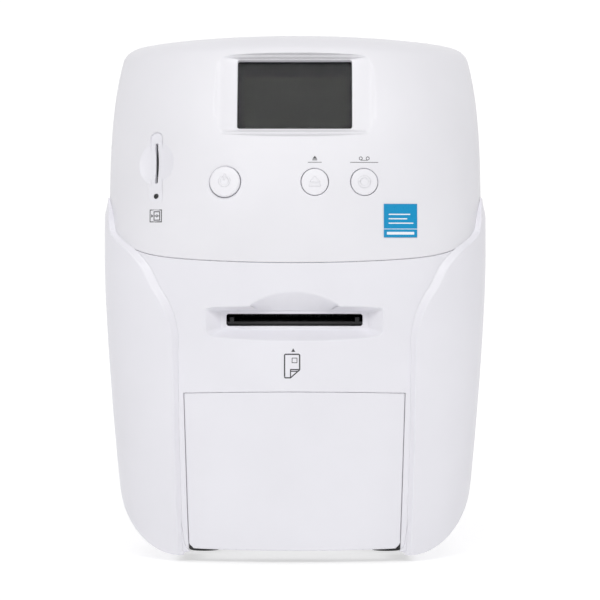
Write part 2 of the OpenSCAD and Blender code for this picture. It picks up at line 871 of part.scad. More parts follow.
module card_track() {
    color([0.16, 0.16, 0.18])
        union() {
            difference() {
                union() {
                    box(-36, 36, front_y + slot_recess + wall + 0.2, front_y + 36.5,
                        track_top - track_t, track_top);
                    box(-plate_x, plate_x, front_y + 36.5, hopper_y0 - hopper_wall - 1,
                        track_top - track_t, track_top);
                }
                for (y = [exit_y, front_roll_y, platen_y, rear_roll_y, inlet_y])
                    box(-28.2, 28.2, y - roller_r - 0.8, y + roller_r + 0.8, track_top - 3, track_top + 1);
                box(-27, 27, gate_y - 4, gate_y + 27.5, track_top - 3, track_top + 1);
            }
            both() {
                box(27.5, 29.5, front_y + slot_recess + wall + 0.2, platen_y - 32, track_top, track_top + 2);
                box(27.5, 29.5, platen_y + 32, hopper_y0 - hopper_wall - 1, track_top, track_top + 2);
            }
        }
}
module card_hopper() {
    color([0.2, 0.2, 0.22])
        difference() {
            union() {
                box(-hopper_half - hopper_wall, hopper_half + hopper_wall, hopper_y0 - hopper_wall,
                    hopper_y1 + hopper_wall, track_top, hopper_top);
                box(-plate_x, plate_x, hopper_y0 - hopper_wall, back_y - 17, track_top - track_t,
                    track_top);
            }
            box(-hopper_half, hopper_half, hopper_y0, hopper_y1, track_top, hopper_top + 1);
            box(-hopper_half, hopper_half, hopper_y0 - 5, hopper_y0 + 1, track_top, card_top + 0.5);
            box(-17, 17, pick_y - roller_r - 1, pick_y + roller_r + 1, track_top - 5, track_top + 1);
            box(-hopper_half - 5, hopper_half + 5, pick_y + 10, pick_y + 16, track_top + 2, hopper_top - 5);
            box(-13, 13, hopper_y0 - 5, hopper_y0 + 5, 150, hopper_top + 1);
        }
}
pusher_z = track_top + 2;
module card_pusher() {
    color([0.3, 0.3, 0.33])
        union() {
            difference() {
                box(-25, 25, hopper_y0 + 6, hopper_y1 - 6, pusher_z, pusher_z + 5);
                box(-9, 9, pick_y - 12, pick_y + 6, pusher_z - 1, pusher_z + 6);
            }
            box(-hopper_half - 4.5, hopper_half + 4.5, pick_y + 10.4, pick_y + 15.6, pusher_z,
                pusher_z + 5);
            box(-10, 10, hopper_y1 - 20, hopper_y1 - 14, pusher_z + 5, pusher_z + 12);
        }
}

// ================= Electronics =================
module main_board() {
    color([0.08, 0.32, 0.18])
        union() {
            box(plate_out + 4, plate_out + 5.6, -72, 92, 30, 100);
            for (y = [-66, 86], z = [36, 94])
                rod(3, plate_out, plate_out + 4, y, z);
            box(plate_out + 5.6, plate_out + 8, -30, -8, 52, 74);
            box(plate_out + 5.6, plate_out + 7.6, 14, 30, 60, 76);
            box(plate_out + 5.6, plate_out + 16, 60, 84, 40, 56);
            box(plate_out + 5.6, plate_out + 13, -64, -52, 42, 88);
            for (y = [-40, 2, 44])
                rod(4, plate_out + 5.6, plate_out + 17, y, 90);
        }
}
module power_supply() {
    color([0.72, 0.73, 0.75])
        difference() {
            box(-40, 40, 24, 140, floor_z, 62);
            for (i = [0:7])
                box(-30, 30, 34 + i * 12, 38 + i * 12, 60.5, 63);
        }
}
fan_z = 76;
fan_half = (side_x(fan_z) - wall - 3 - plate_out) / 2;    // 3 clear of the casing
fan_x = plate_out + fan_half;
fan_y = back_y - 26;
module fan_frame() {
    color([0.13, 0.13, 0.14])
        union() {
            difference() {
                translate([fan_x, fan_y, fan_z])
                    box(-fan_half, fan_half, 0, 10, -fan_half, fan_half);
                translate([fan_x, fan_y - 1, fan_z])
                    rotate([-90, 0, 0])
                        cylinder(r = fan_half - 1.4, h = 12);
            }
            difference() {
                union() {
                    translate([fan_x, fan_y + 8.6, fan_z]) {
                        box(1 - fan_half, fan_half - 1, 0, 1.4, -1.2, 1.2);
                        box(-1.2, 1.2, 0, 1.4, 1 - fan_half, fan_half - 1);
                    }
                    translate([fan_x, fan_y + 8.6, fan_z])
                        rotate([-90, 0, 0])
                            cylinder(r = 5, h = 1.4);
                }
                translate([fan_x, fan_y, fan_z])
                    rotate([-90, 0, 0])
                        cylinder(r = 1 + run_gap, h = 12);
            }
        }
}
module fan_rotor() {
    color([0.16, 0.16, 0.17])
        translate([fan_x, fan_y + 0.6, fan_z])
            rotate([-90, 0, 0]) {
                cylinder(r = 5, h = 7.4);
                cylinder(r = 1, h = 9.4);
                for (a = [0:51.43:359])
                    rotate([0, 0, a])
                        translate([4, 0, 3.6])
                            rotate([35, 0, 0])
                                translate([0, -3, -0.5])
                                    cube([fan_half - 6.4, 6, 1]);
            }
}
module power_inlet() {
    color([0.1, 0.1, 0.11])
        difference() {
            union() {
                box(inlet_x - 14, inlet_x + 14, back_y - 16, back_y, inlet_z - 12, inlet_z + 12);
            }
            along_y(back_y - 14, back_y + 1)
                polygon([[inlet_x - 10.5, inlet_z - 7.5], [inlet_x + 10.5, inlet_z - 7.5],
                    [inlet_x + 10.5, inlet_z + 4],
                    [inlet_x + 7, inlet_z + 8], [inlet_x - 7, inlet_z + 8], [inlet_x - 10.5, inlet_z + 4]]);
        }
    color([0.75, 0.75, 0.76])
        for (p = [[-6.5, -1.5], [6.5, -1.5], [0, 2.8]])
            box(inlet_x + p[0] - 1, inlet_x + p[0] + 1, back_y - 14.5, back_y - 6, inlet_z + p[1] - 2,
                inlet_z + p[1] + 2);
}
module data_ports() {
    color([0.7, 0.71, 0.73])
        difference() {
            box(ports_x - 22, ports_x + 22, back_y - 16, back_y - 1, ports_z - 9, ports_z + 9);
            box(ports_x - 18.5, ports_x - 6.5, back_y - 13, back_y, ports_z - 5.5, ports_z + 5.5);
            box(ports_x + 2, ports_x + 18, back_y - 13, back_y, ports_z - 6.5, ports_z + 6.5);
        }
    color([0.12, 0.12, 0.13])
        box(ports_x - 15.5, ports_x - 9.5, back_y - 13.2, back_y - 4, ports_z - 2.6, ports_z + 2.6);
}
module output_bin() {
    color([0.22, 0.22, 0.24])
        difference() {
            union() {
                box(-plate_x, plate_x, front_y + 38, front_y + 108, 19, 21);
                box(-31.5, 31.5, front_y + 20, front_y + 108, 19, 78);
            }
            box(-29.5, 29.5, front_y + 19, front_y + 106, 21, 79);
            along_x(-40, 40)
                polygon([[front_y + 19, 22], [front_y + 19, 79], [front_y + 60, 79]]);
        }
}
module panel_screws() {
    color([0.6, 0.61, 0.63])
        for (p = screw_places)
            translate([p[0], screw_y(p), p[1]])
                rotate([90, 0, 0]) {
                    cylinder(r = 1.68, h = 7);
                    difference() {
                        translate([0, 0, -1.2])
                            cylinder(r = 3, h = 1.2);
                        translate([0, 0, -1.4])
                            cylinder(r = 1.3, h = 1, $fn = 6);
                    }
                }
}

// ================= Drive and rollers =================
module drive_motor() {
    color([0.3, 0.31, 0.33])
        difference() {
            union() {
                rod(17, -plate_x, -6, motor_y, motor_z);
                rod(6.8, -plate_out, -plate_x, motor_y, motor_z);
            }
            rod(2.5 + run_gap, -plate_out - 1, -36, motor_y, motor_z);
        }
}
module motor_pulley() {
    color([0.75, 0.76, 0.78])
        union() {
            rod(motor_pulley_r, belt_x0, belt_x1, motor_y, motor_z);
            rod(2.5, belt_x1 - 1, -37, motor_y, motor_z);
        }
}
module belt_outline(g) {
    hull() {
        for (y = [exit_y, pick_y])
            translate([y, roller_z])
                circle(r = pulley_r + g);
        translate([motor_y, motor_z])
            circle(r = motor_pulley_r + g);
    }
}
module drive_belt() {
    color([0.12, 0.12, 0.13])
        along_x(belt_x0 + 0.8, belt_x1 - 0.8)
            difference() {
                belt_outline(1.4);
                belt_outline(0.15);
            }
}
// A driven roller: rubber sleeve on a shaft that carries a belt pulley at its left end
module driven_roller(y, half) {
    rod(shaft_r, belt_x0 + 0.2, plate_out + 2.5, y, roller_z);
    rod(roller_r, -half, half, y, roller_z);
    rod(pulley_r, belt_x0, belt_x1, y, roller_z);
}
module exit_roller() {
    color([0.18, 0.18, 0.19])
        driven_roller(exit_y, 26);
}
module front_roller() {
    color([0.18, 0.18, 0.19])
        driven_roller(front_roll_y, 26);
}
module platen_roller() {
    color([0.14, 0.14, 0.15])
        driven_roller(platen_y, 27.5);
}
module rear_roller() {
    color([0.18, 0.18, 0.19])
        driven_roller(rear_roll_y, 26);
}
module inlet_roller() {
    color([0.18, 0.18, 0.19])
        driven_roller(inlet_y, 26);
}
module pick_roller() {
    color([0.2, 0.2, 0.21])
        driven_roller(pick_y, 15);
}
module pinch(y) {
    rod(pinch_shaft_r, -plate_out - 0.8, plate_out + 0.8, y, pinch_z);
    rod(pinch_r, -25, 25, y, pinch_z);
}
module exit_pinch() {
    color([0.75, 0.75, 0.77])
        pinch(exit_y);
}
module front_pinch() {
    color([0.75, 0.75, 0.77])
        pinch(front_roll_y);
}
module rear_pinch() {
    color([0.75, 0.75, 0.77])
        pinch(rear_roll_y);
}
module cleaning_roller() {
    color([0.35, 0.55, 0.8])
        union() {
            rod(pinch_shaft_r, -plate_out - 0.8, plate_out + 0.8, inlet_y, clean_z);
            rod(clean_r, -26, 26, inlet_y, clean_z);
        }
}
module shaft_bearings() {
    color([0.8, 0.7, 0.45])
        both()
            for (y = roller_ys)
                difference() {
                    union() {
                        rod(bearing_r, plate_x, plate_out, y, roller_z);
                        rod(bearing_r + 1.4, plate_out, plate_out + 1, y, roller_z);
                    }
                    rod(shaft_r + run_gap, plate_x - 1, plate_out + 2, y, roller_z);
                }
}
module card_gate() {
    color([0.25, 0.25, 0.27])
        union() {
            rod(pinch_shaft_r, -plate_out - 0.8, plate_out + 0.8, gate_y, gate_z);
            box(-26, 26, gate_y - 1.4, gate_y + 1.4, gate_z, track_top);
            box(-26, 26, gate_y - 1.4, gate_y + 26, track_top - track_t, track_top);
        }
}

// ================= Ribbon =================
// Where a straight run of film from the point p meets a roll of radius r at c, on its side s
function touch_at(p, c, r, s) = let (d = c - p, a = atan2(d[1], d[0]) + s * asin(r / norm(d)))
    c + r * [cos(a + s * 90), sin(a + s * 90)];
module strip(a, b, t) {
    d = [b[0] - a[0], b[1] - a[1]];
    n = [-d[1], d[0]] * (t / norm(d));
    polygon([a, b, b + n, a + n]);
}
module cassette_side() {
    difference() {
        union() {
            translate([supply_y, spool_z])
                circle(r = 11);
            translate([takeup_y, spool_z])
                circle(r = 10);
            polygon([[takeup_y - 6, spool_z - 8], [takeup_y - 2, film_z + 10], [supply_y + 2, film_z + 10],
                [supply_y + 6, spool_z - 9], [supply_y - 7, spool_z - 8], [supply_y - 11, film_z + 22],
                [takeup_y + 11, film_z + 22], [takeup_y + 7, spool_z - 7]]);
            for (y = bar_ys)
                translate([y - 4.5, track_top])
                    square([9, film_z + 12 - track_top]);
        }
        for (y = [supply_y, takeup_y])
            translate([y, spool_z])
                circle(r = 4 + run_gap);
    }
}
module ribbon_cassette() {
    color([0.13, 0.14, 0.16])
        union() {
            both()
                along_x(cassette_in, cassette_in + 2)
                    cassette_side();
            for (y = bar_ys)
                rod(bar_r, -cassette_in, cassette_in, y, bar_z);
            rod(2.5, -cassette_in, cassette_in, takeup_y + 3, spool_z - 22);
        }
}
module supply_spool() {
    color([0.3, 0.24, 0.4])
        union() {
            rod(6, -38.5, 38.5, supply_y, spool_z);
            rod(supply_r, -film_half, film_half, supply_y, spool_z);
            rod(4, -cassette_in - 2, cassette_in + 2, supply_y, spool_z);
            both()
                rod(supply_r + 1.5, film_half + 1, film_half + 2.6, supply_y, spool_z);
        }
}
module takeup_spool() {
    color([0.3, 0.26, 0.36])
        union() {
            rod(6, -38.5, 38.5, takeup_y, spool_z);
            rod(takeup_r, -film_half, film_half, takeup_y, spool_z);
            rod(4, gear_x0, cassette_in + 2, takeup_y, spool_z);
            rod(takeup_gear_r, gear_x0, gear_x1, takeup_y, spool_z);
        }
}
module ribbon_gear() {
    color([0.85, 0.85, 0.83])
        union() {
            rod(ribbon_gear_r, gear_x0, gear_x1, ribbon_gear_y, ribbon_gear_z);
            rod(2, -plate_out - 9, gear_x1, ribbon_gear_y, ribbon_gear_z);
        }
}
module ribbon_motor() {
    color([0.3, 0.31, 0.33])
        difference() {
            rod(11, -plate_out - 16, -plate_out, ribbon_gear_y, ribbon_gear_z);
            rod(2 + run_gap, -plate_out - 10, -plate_out + 1, ribbon_gear_y, ribbon_gear_z);
        }
}
film_from = [[bar_ys[0] + bar_r + 0.05 + film_t, bar_z], [bar_ys[1] - bar_r - 0.05, bar_z]];
module ribbon_film() {
    color([0.35, 0.2, 0.5])
        along_x(-film_half, film_half)
            union() {
                translate([bar_ys[1] - 0.1, film_z])
                    square([bar_ys[0] - bar_ys[1] + 0.2, film_t]);
                for (s = [0, 1])
                    intersection() {
                        difference() {
                            translate([bar_ys[s], bar_z])
                                circle(r = bar_r + 0.05 + film_t);
                            translate([bar_ys[s], bar_z])
                                circle(r = bar_r + 0.05);
                        }
                        translate(s == 0 ? [bar_ys[0], film_z - 1] : [bar_ys[1] - 5, film_z - 1])
                            square([5, bar_z - film_z + 1]);
                    }
                for (y = [bar_ys[0] + bar_r + 0.05 + film_t / 2, bar_ys[1] - bar_r - 0.05 - film_t / 2])
                    translate([y, bar_z])
                        circle(r = film_t * 0.55, $fn = 16);
                strip(film_from[0], touch_at(film_from[0], [supply_y, spool_z],
                    supply_r + 0.35 + film_t, 1), film_t);
                strip(film_from[1], touch_at(film_from[1], [takeup_y, spool_z], takeup_r + 0.35, -1),
                    film_t);
            }
}

// ================= Print head, hung from the cover =================
module head_bracket() {
    color([0.72, 0.73, 0.75])
        union() {
            box(-bracket_x - 1.5, bracket_x + 1.5, head_y - 32, head_y + 30, bracket_top - 1.5, bracket_top);
            both()
                difference() {
                    along_x(bracket_x, bracket_x + 1.5)
                        polygon([[head_y - 28, bracket_top - 1.5], [head_y + 26, bracket_top - 1.5],
                            [head_y + 14, 180], [head_y + 14, 134],
                            [head_y - 14, 134], [head_y - 14, 180]]);
                    rod(3 + run_gap, bracket_x - 1, bracket_x + 3, head_y, cam_z);
                    for (z = [140, 154])
                        hull() {
                            rod(2.05, bracket_x - 1, bracket_x + 3, head_y, z + 0.1);
                            rod(2.05, bracket_x - 1, bracket_x + 3, head_y, z - head_lift - 0.1);
                        }
                }
        }
}
yoke_h = cam_r + cam_play;
yoke_z = cam_z + cam_off;                // middle of the yoke's window at rest
module head_carrier() {
    color([0.4, 0.42, 0.45])
        union() {
            box(-34.5, 34.5, head_y - 10, head_y + 10, head_z + 3.4, head_z + 5.4);
            both() {
                box(32.5, 34.5, head_y - 10, head_y + 10, head_z + 5.4, 158);
                rod(2, 34, bracket_x + 2.5, head_y, 140);
                rod(2, 34, bracket_x + 2.5, head_y, 154);
                difference() {
                    box(27, 32.5, head_y - 13, head_y + 13, 152, yoke_z + yoke_h + 2.4);
                    box(26, 34, head_y - yoke_h - cam_off - 0.4, head_y + yoke_h + cam_off + 0.4,
                        yoke_z - yoke_h,
                        yoke_z + yoke_h);
                }
            }
        }
}
module print_head() {
    color([0.75, 0.72, 0.65])
        union() {
            box(-30.5, 30.5, head_y - 8, head_y + 8, head_z + 0.5, head_z + 3.4);
            box(-28, 28, head_y - 1.2, head_y + 1.2, head_z, head_z + 0.5);
        }
}
module head_heatsink() {
    color([0.65, 0.66, 0.68])
        union() {
            box(-30, 30, head_y - 9, head_y + 9, head_z + 5.4, head_z + 8.4);
            for (i = [0:11])
                box(-29.6 + i * 5.2, -27.8 + i * 5.2, head_y - 9, head_y + 9, head_z + 8.4, 148);
        }
}
module head_cam() {
    color([0.86, 0.86, 0.84])
        union() {
            rod(3, -bracket_x - 12, bracket_x + 2.5, head_y, cam_z);
            both()
                rod(cam_r, 28, 31.5, head_y, cam_z + cam_off);
        }
}
module cam_motor() {
    color([0.3, 0.31, 0.33])
        difference() {
            rod(10, -bracket_x - 20, -bracket_x - 1.5, head_y, cam_z);
            rod(3 + run_gap, -bracket_x - 13, -bracket_x, head_y, cam_z);
        }
}

base_tray();
rubber_feet();
front_fascia();
left_panel();
right_panel();
rear_panel();
rear_housing();
power_inlet();
data_ports();
left_chassis();
right_chassis();
chassis_deck();
card_track();
card_hopper();
main_board();
power_supply();
fan_frame();
fan_rotor();
output_bin();
drive_motor();
motor_pulley();
drive_belt();
exit_roller();
front_roller();
platen_roller();
rear_roller();
inlet_roller();
pick_roller();
exit_pinch();
front_pinch();
rear_pinch();
cleaning_roller();
shaft_bearings();
ribbon_cassette();
supply_spool();
takeup_spool();
ribbon_film();
ribbon_motor();
ribbon_gear();
card_gate();
card_pusher();
top_cover();
head_bracket();
head_carrier();
print_head();
head_heatsink();
head_cam();
cam_motor();
display_lens();
display_panel();
control_board();
power_button();
eject_button();
ribbon_button();
chip_reader();
seal_label();
hopper_lid();
front_door();
panel_screws();
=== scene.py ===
# %% [markdown]
# # A card printer, dressed for its photograph
# The construction model already says where everything is and how it moves. This lesson loads that
# model as a fixed frame and gives it the looks: smooth casing mouldings with rounded rims, a recessed
# display, keys, printed pictograms, and a procedural finish on every piece.
# Everything below is in millimetres until a mesh is made, because that is how a moulding is drawn.

# %% Load the frame
import bpy
import bmesh
import json
import math
import numpy as np
from mathutils import Matrix, Vector


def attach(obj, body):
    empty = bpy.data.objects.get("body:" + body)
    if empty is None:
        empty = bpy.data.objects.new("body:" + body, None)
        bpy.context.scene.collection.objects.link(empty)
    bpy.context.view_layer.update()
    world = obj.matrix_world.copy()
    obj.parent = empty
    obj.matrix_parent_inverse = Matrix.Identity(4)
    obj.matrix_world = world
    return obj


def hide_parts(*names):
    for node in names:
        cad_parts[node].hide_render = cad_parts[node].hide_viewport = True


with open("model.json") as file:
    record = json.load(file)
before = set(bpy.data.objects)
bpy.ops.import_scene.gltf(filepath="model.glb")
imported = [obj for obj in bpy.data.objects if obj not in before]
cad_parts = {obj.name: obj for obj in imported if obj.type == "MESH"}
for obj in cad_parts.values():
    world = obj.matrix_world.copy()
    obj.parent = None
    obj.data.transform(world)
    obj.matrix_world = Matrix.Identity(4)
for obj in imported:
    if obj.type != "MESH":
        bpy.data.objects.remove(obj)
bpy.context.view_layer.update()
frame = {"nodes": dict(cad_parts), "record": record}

# %% [markdown]
# ## Colour management
# White plastic on a white ground needs a view transform that leaves whites alone. The film-like
# default would turn them grey, so the plain one is chosen.

# %% View transform
scene = bpy.context.scene
scene.view_settings.view_transform = "Standard"
scene.view_settings.look = "None"

# %% [markdown]
# ## Node helpers
# A finish is a small network of nodes. Writing the same ten lines for each of them would hide what
# differs, so a few helpers lay down the nodes and the cells below only say what matters.

# %% Helpers for node networks
def node(tree, kind, inputs=None, **settings):
    made = tree.nodes.new(kind)
    for key, value in settings.items():
        setattr(made, key, value)
    for key, value in (inputs or {}).items():
        socket = made.inputs[key]
        if hasattr(value, "is_output"):
            tree.links.new(value, socket)
        else:
            socket.default_value = value
    return made


def ramp(tree, factor, stops, interpolation="LINEAR"):
    made = node(tree, "ShaderNodeValToRGB", {"Fac": factor})
    made.color_ramp.interpolation = interpolation
    elements = made.color_ramp.elements
    while len(elements) < len(stops):
        elements.new(0.5)
    for element, (place, colour) in zip(elements, stops):
        element.position = place
        element.color = (*colour, 1)
    return made.outputs["Color"]


def noise(tree, place, scale, detail=2):
    made = node(tree, "ShaderNodeTexNoise", {"Vector": place, "Scale": scale, "Detail": detail})
    return made.outputs["Fac"]


def span(tree, value, low, high, start=0.0, stop=1.0, **settings):
    """A value carried from start..stop to low..high."""
    return node(tree, "ShaderNodeMapRange", {"Value": value, "From Min": start, "From Max": stop,
                                             "To Min": low, "To Max": high}, **settings).outputs["Result"]


def maths(tree, operation, *values):
    return node(tree, "ShaderNodeMath", dict(enumerate(values)), operation=operation).outputs["Value"]


def mixed(tree, factor, first, second, **settings):
    return node(tree, "ShaderNodeMix", {"Factor": factor, 6: first, 7: second}, data_type="RGBA",
                **settings).outputs[2]


def soft_edge(tree, radius):
    return node(tree, "ShaderNodeBevel", {"Radius": radius}, samples=4).outputs["Normal"]


def bump(tree, height, strength, distance, normal=None):
    made = node(tree, "ShaderNodeBump", {"Height": height, "Strength": strength, "Distance": distance})
    if normal is not None:
        tree.links.new(normal, made.inputs["Normal"])
    return made.outputs["Normal"]


def blank(name):
    material = bpy.data.materials.new(name)
    material.use_nodes = True
    tree = material.node_tree
    surface = tree.nodes["Principled BSDF"]
    place = node(tree, "ShaderNodeTexCoord").outputs["Object"]
    return material, tree, surface, place


def feed(surface, colour, rough, normal=None):
    """Connect what a finish is made of to its surface."""
    for key, value in (("Base Color", colour), ("Roughness", rough), ("Normal", normal)):
        if value is not None:
            surface.id_data.links.new(value, surface.inputs[key])

# %% [markdown]
# ## Moulded plastic
# The real casing is injection-moulded: a fine spark-eroded grain and a very faint unevenness of colour.
# The rounded edges carry a painted highlight, a colour a touch brighter than the face. An image of
# such a grain would do too, but noise in object space needs no unwrapping and stays sharp at any distance.

# %% The moulded finish
def moulded(name, colour, rough=0.42, grain=1500, depth=0.04, mottle=0.02, coat=0.0, edge_r=0.0007):
    material, tree, surface, place = blank(name)
    low, high = (tuple(min(1, c * (1 + way * mottle)) for c in colour) for way in (-1, 1))
    base = ramp(tree, noise(tree, place, 22, 4), [(0.3, low), (0.7, high)])
    edge = soft_edge(tree, edge_r)
    flat = node(tree, "ShaderNodeNewGeometry").outputs["Normal"]
    turn = node(tree, "ShaderNodeVectorMath", {0: edge, 1: flat}, operation="DOT_PRODUCT").outputs["Value"]
    # painted highlight on the rounded edges: where the softened normal turns away from the flat one, the
    # colour is lifted towards the lighter one below
    edge_highlight = span(tree, turn, 0.0, 0.05, 1.0, 0.8)
    light = tuple(min(1, c + 0.25 * (1 - c) + 0.05) for c in colour)
    grains = noise(tree, place, grain)
    feed(surface, mixed(tree, edge_highlight, base, (*light, 1)),
         span(tree, grains, rough - 0.05, rough + 0.06, 0.2, 0.8), bump(tree, grains, depth, 0.0002, edge))
    surface.inputs["Coat Weight"].default_value = coat
    return material

# %% [markdown]
# ## Metals
# Turned shafts show rings, rolled sheet shows faint streaks. Both are one noise pulled long along
# one axis, which feeds the roughness and a little of the colour.

# %% The metal finish
def metal(name, colour, rough=0.3, streak=(1, 1, 60)):
    material, tree, surface, place = blank(name)
    pulled = node(tree, "ShaderNodeMapping", {"Vector": place, "Scale": streak}).outputs["Vector"]
    lines = noise(tree, pulled, 90, 5)
    dim = tuple(c * 0.82 for c in colour)
    feed(surface, ramp(tree, lines, [(0.25, dim), (0.75, colour)]),
         span(tree, lines, rough - 0.08, rough + 0.12, 0.25, 0.75),
         bump(tree, lines, 0.05, 0.0002, soft_edge(tree, 0.0004)))
    surface.inputs["Metallic"].default_value = 1.0
    return material

# %% [markdown]
# ## Rubber
# Foot pads and rollers are matt and slightly uneven, with dust in the low spots.

# %% The rubber finish
def rubber(name, colour, rough=0.75):
    material, tree, surface, place = blank(name)
    spots = noise(tree, place, 900, 3)
    dust = tuple(min(1, c * 1.5 + 0.02) for c in colour)
    feed(surface, ramp(tree, spots, [(0.35, dust), (0.65, colour)]),
         span(tree, noise(tree, place, 60), rough - 0.1, rough + 0.15), bump(tree, spots, 0.25, 0.0003))
    return material

# %% The finishes, by the slot they fill
FINISH = {}
TABLE = {
    moulded: {
        "cover_white": dict(colour=(0.79, 0.783, 0.82)),
        "casing_white": dict(colour=(0.80, 0.793, 0.84), rough=0.4),
        "panel_white": dict(colour=(0.80, 0.793, 0.84), rough=0.38, edge_r=0.0001),
        "key_white": dict(colour=(0.82, 0.813, 0.85), rough=0.34),
        "base_grey": dict(colour=(0.6, 0.6, 0.62), rough=0.5, depth=0.08),
        "black_plastic": dict(colour=(0.018, 0.018, 0.02), depth=0.1, mottle=0.15),
        "dark_plastic": dict(colour=(0.05, 0.05, 0.055), rough=0.5, depth=0.1, mottle=0.12),
        "wheel_plastic": dict(colour=(0.62, 0.6, 0.54), rough=0.4, mottle=0.05),
        "carrier_grey": dict(colour=(0.16, 0.17, 0.18), rough=0.5, depth=0.1, mottle=0.08),
        "cleaning_blue": dict(colour=(0.05, 0.2, 0.5), rough=0.3, mottle=0.08, coat=0.3),
        "label_blue": dict(colour=(0.003, 0.28, 0.55), rough=0.3, grain=3000, depth=0.01, mottle=0.05),
        "head_ceramic": dict(colour=(0.75, 0.7, 0.6), rough=0.25, mottle=0.04),
    },
    rubber: {
        "foot_rubber": dict(colour=(0.02, 0.02, 0.021)),
        "belt_rubber": dict(colour=(0.015, 0.015, 0.016)),
        "roller_rubber": dict(colour=(0.09, 0.09, 0.095), rough=0.65),
    },
    metal: {
        "sheet_steel": dict(colour=(0.62, 0.63, 0.64), rough=0.38, streak=(1, 60, 1)),
        "port_metal": dict(colour=(0.6, 0.6, 0.58)),
        "motor_metal": dict(colour=(0.45, 0.46, 0.48), rough=0.35, streak=(60, 1, 1)),
        "idler_steel": dict(colour=(0.68, 0.68, 0.7), rough=0.22, streak=(80, 1, 1)),
        "bearing_bronze": dict(colour=(0.5, 0.33, 0.16), rough=0.35),
        "heatsink_aluminium": dict(colour=(0.72, 0.73, 0.75), rough=0.35, streak=(1, 40, 1)),
        "screw_steel": dict(colour=(0.5, 0.5, 0.52)),
    },
}
for make, rows in TABLE.items():
    for name, settings in rows.items():
        FINISH[name] = make(name, **settings)
print("finishes:", len(FINISH))

# %% [markdown]
# ## Circuit boards, ribbon and display
# Some finishes are patterns of their own. A board is green lacquer over copper lines, the ribbon is a
# film with coloured fields that repeat along it, and the display is a dark grey field inside a black
# border, seen through a smoky lens. Along the display's top the black is wider: there the frame is
# widened by painted shadow from the wall of the recess above.

# %% Board and ribbon
def board_finish(name):
    material, tree, surface, place = blank(name)
    cells = node(tree, "ShaderNodeTexBrick", {
        "Vector": place, "Scale": 160, "Mortar Size": 0.035, "Color1": (0.008, 0.11, 0.04, 1),
        "Color2": (0.01, 0.13, 0.05, 1), "Mortar": (0.02, 0.2, 0.09, 1)})
    dots = node(tree, "ShaderNodeTexVoronoi", {"Vector": place, "Scale": 330})
    pads = ramp(tree, dots.outputs["Distance"], [(0.1, (0.7, 0.6, 0.3)), (0.16, (0, 0, 0))])
    feed(surface, mixed(tree, 1.0, cells.outputs["Color"], pads, blend_type="ADD"),
         span(tree, noise(tree, place, 70), 0.25, 0.4), bump(tree, cells.outputs["Fac"], 0.2, 0.0001))
    return material


def ribbon_finish(name):
    material, tree, surface, place = blank(name)
    along = node(tree, "ShaderNodeSeparateXYZ", {"Vector": place}).outputs["Y"]
    turn = maths(tree, "FRACT", maths(tree, "MULTIPLY", along, 14.0))
    fields = [(0.0, (0.5, 0.38, 0.01)), (0.25, (0.42, 0.01, 0.12)), (0.5, (0.0, 0.14, 0.42)),
              (0.75, (0.01, 0.01, 0.012))]
    wrinkles = noise(tree, place, 120)
    feed(surface, ramp(tree, turn, fields, "CONSTANT"), span(tree, wrinkles, 0.15, 0.3),
         bump(tree, wrinkles, 0.1, 0.0003))
    return material


FINISH["board_green"] = board_finish("board_green")
FINISH["ribbon_dark"] = ribbon_finish("ribbon_dark")

# %% Lens and screen
# the third value is where the black along the display's top begins, above its middle: the display's frame,
# widened by painted shadow from the recess wall above
SCREEN_HALF, BORDER, FRAME_AND_SHADOW_UP = 0.0222, 0.0028, 0.0092      # in metres, as textures count them


def screen_finish(name):
    material, tree, surface, place = blank(name)
    corners = np.array([v.co[:] for v in frame["nodes"]["display_panel"].data.vertices])
    middle = (corners.min(0) + corners.max(0)) / 2
    frame_and_shadow_line = float(middle[2] + FRAME_AND_SHADOW_UP)
    parts = node(tree, "ShaderNodeSeparateXYZ", {"Vector": place})
    side = maths(tree, "ABSOLUTE", maths(tree, "SUBTRACT", parts.outputs["X"], float(middle[0])))
    edge = span(tree, side, 0, 1, SCREEN_HALF, SCREEN_HALF + BORDER, interpolation_type="SMOOTHSTEP")
    # black from this line upwards: the display's frame plus painted shadow of the recess above
    top = span(tree, parts.outputs["Z"], 0, 1, frame_and_shadow_line, frame_and_shadow_line + 0.0022, interpolation_type="SMOOTHSTEP")
    cloud = noise(tree, place, 60, 6)
    field = ramp(tree, cloud, [(0.3, (0.034, 0.036, 0.031)), (0.7, (0.042, 0.044, 0.039))])
    feed(surface, mixed(tree, maths(tree, "MAXIMUM", edge, top), field, (0.004, 0.004, 0.005, 1)),
         span(tree, cloud, 0.45, 0.6))
    surface.inputs["Specular IOR Level"].default_value = 0.06
    return material


def lens_finish(name):
    material, tree, surface, place = blank(name)
    specks = noise(tree, place, 500)
    feed(surface, ramp(tree, specks, [(0.6, (0.01, 0.01, 0.012)), (0.8, (0.05, 0.05, 0.05))]),
         span(tree, specks, 0.04, 0.12))
    surface.inputs["Alpha"].default_value = 0.14
    return material


FINISH["screen_dark"] = screen_finish("screen_dark")
FINISH["lens_smoke"] = lens_finish("lens_smoke")

# %% [markdown]
# ## Every construction piece gets its finish
# The record names a slot for each node. The inner parts keep their exact construction shapes, so
# they only need the finish of their slot. The outer mouldings are replaced further down.

# %% Finishes on the construction nodes
slot_of = {row["node"]: row["material_slot"] for row in frame["record"]["subparts"]}
for name, obj in frame["nodes"].items():
    obj.data.materials.clear()
    obj.data.materials.append(FINISH[slot_of[name]])
print("finished nodes:", len(slot_of))

# %% [markdown]
# ## The form of the casing
# The real casing is one continuous form: sides that draw in towards the foot and the top, a front
# that bulges, a crowned top with a rounded edge. Drawing it as formulas keeps every moulding on the
# same skin, so their seams line up. Heights are above the table, and y = -186 is the very front.

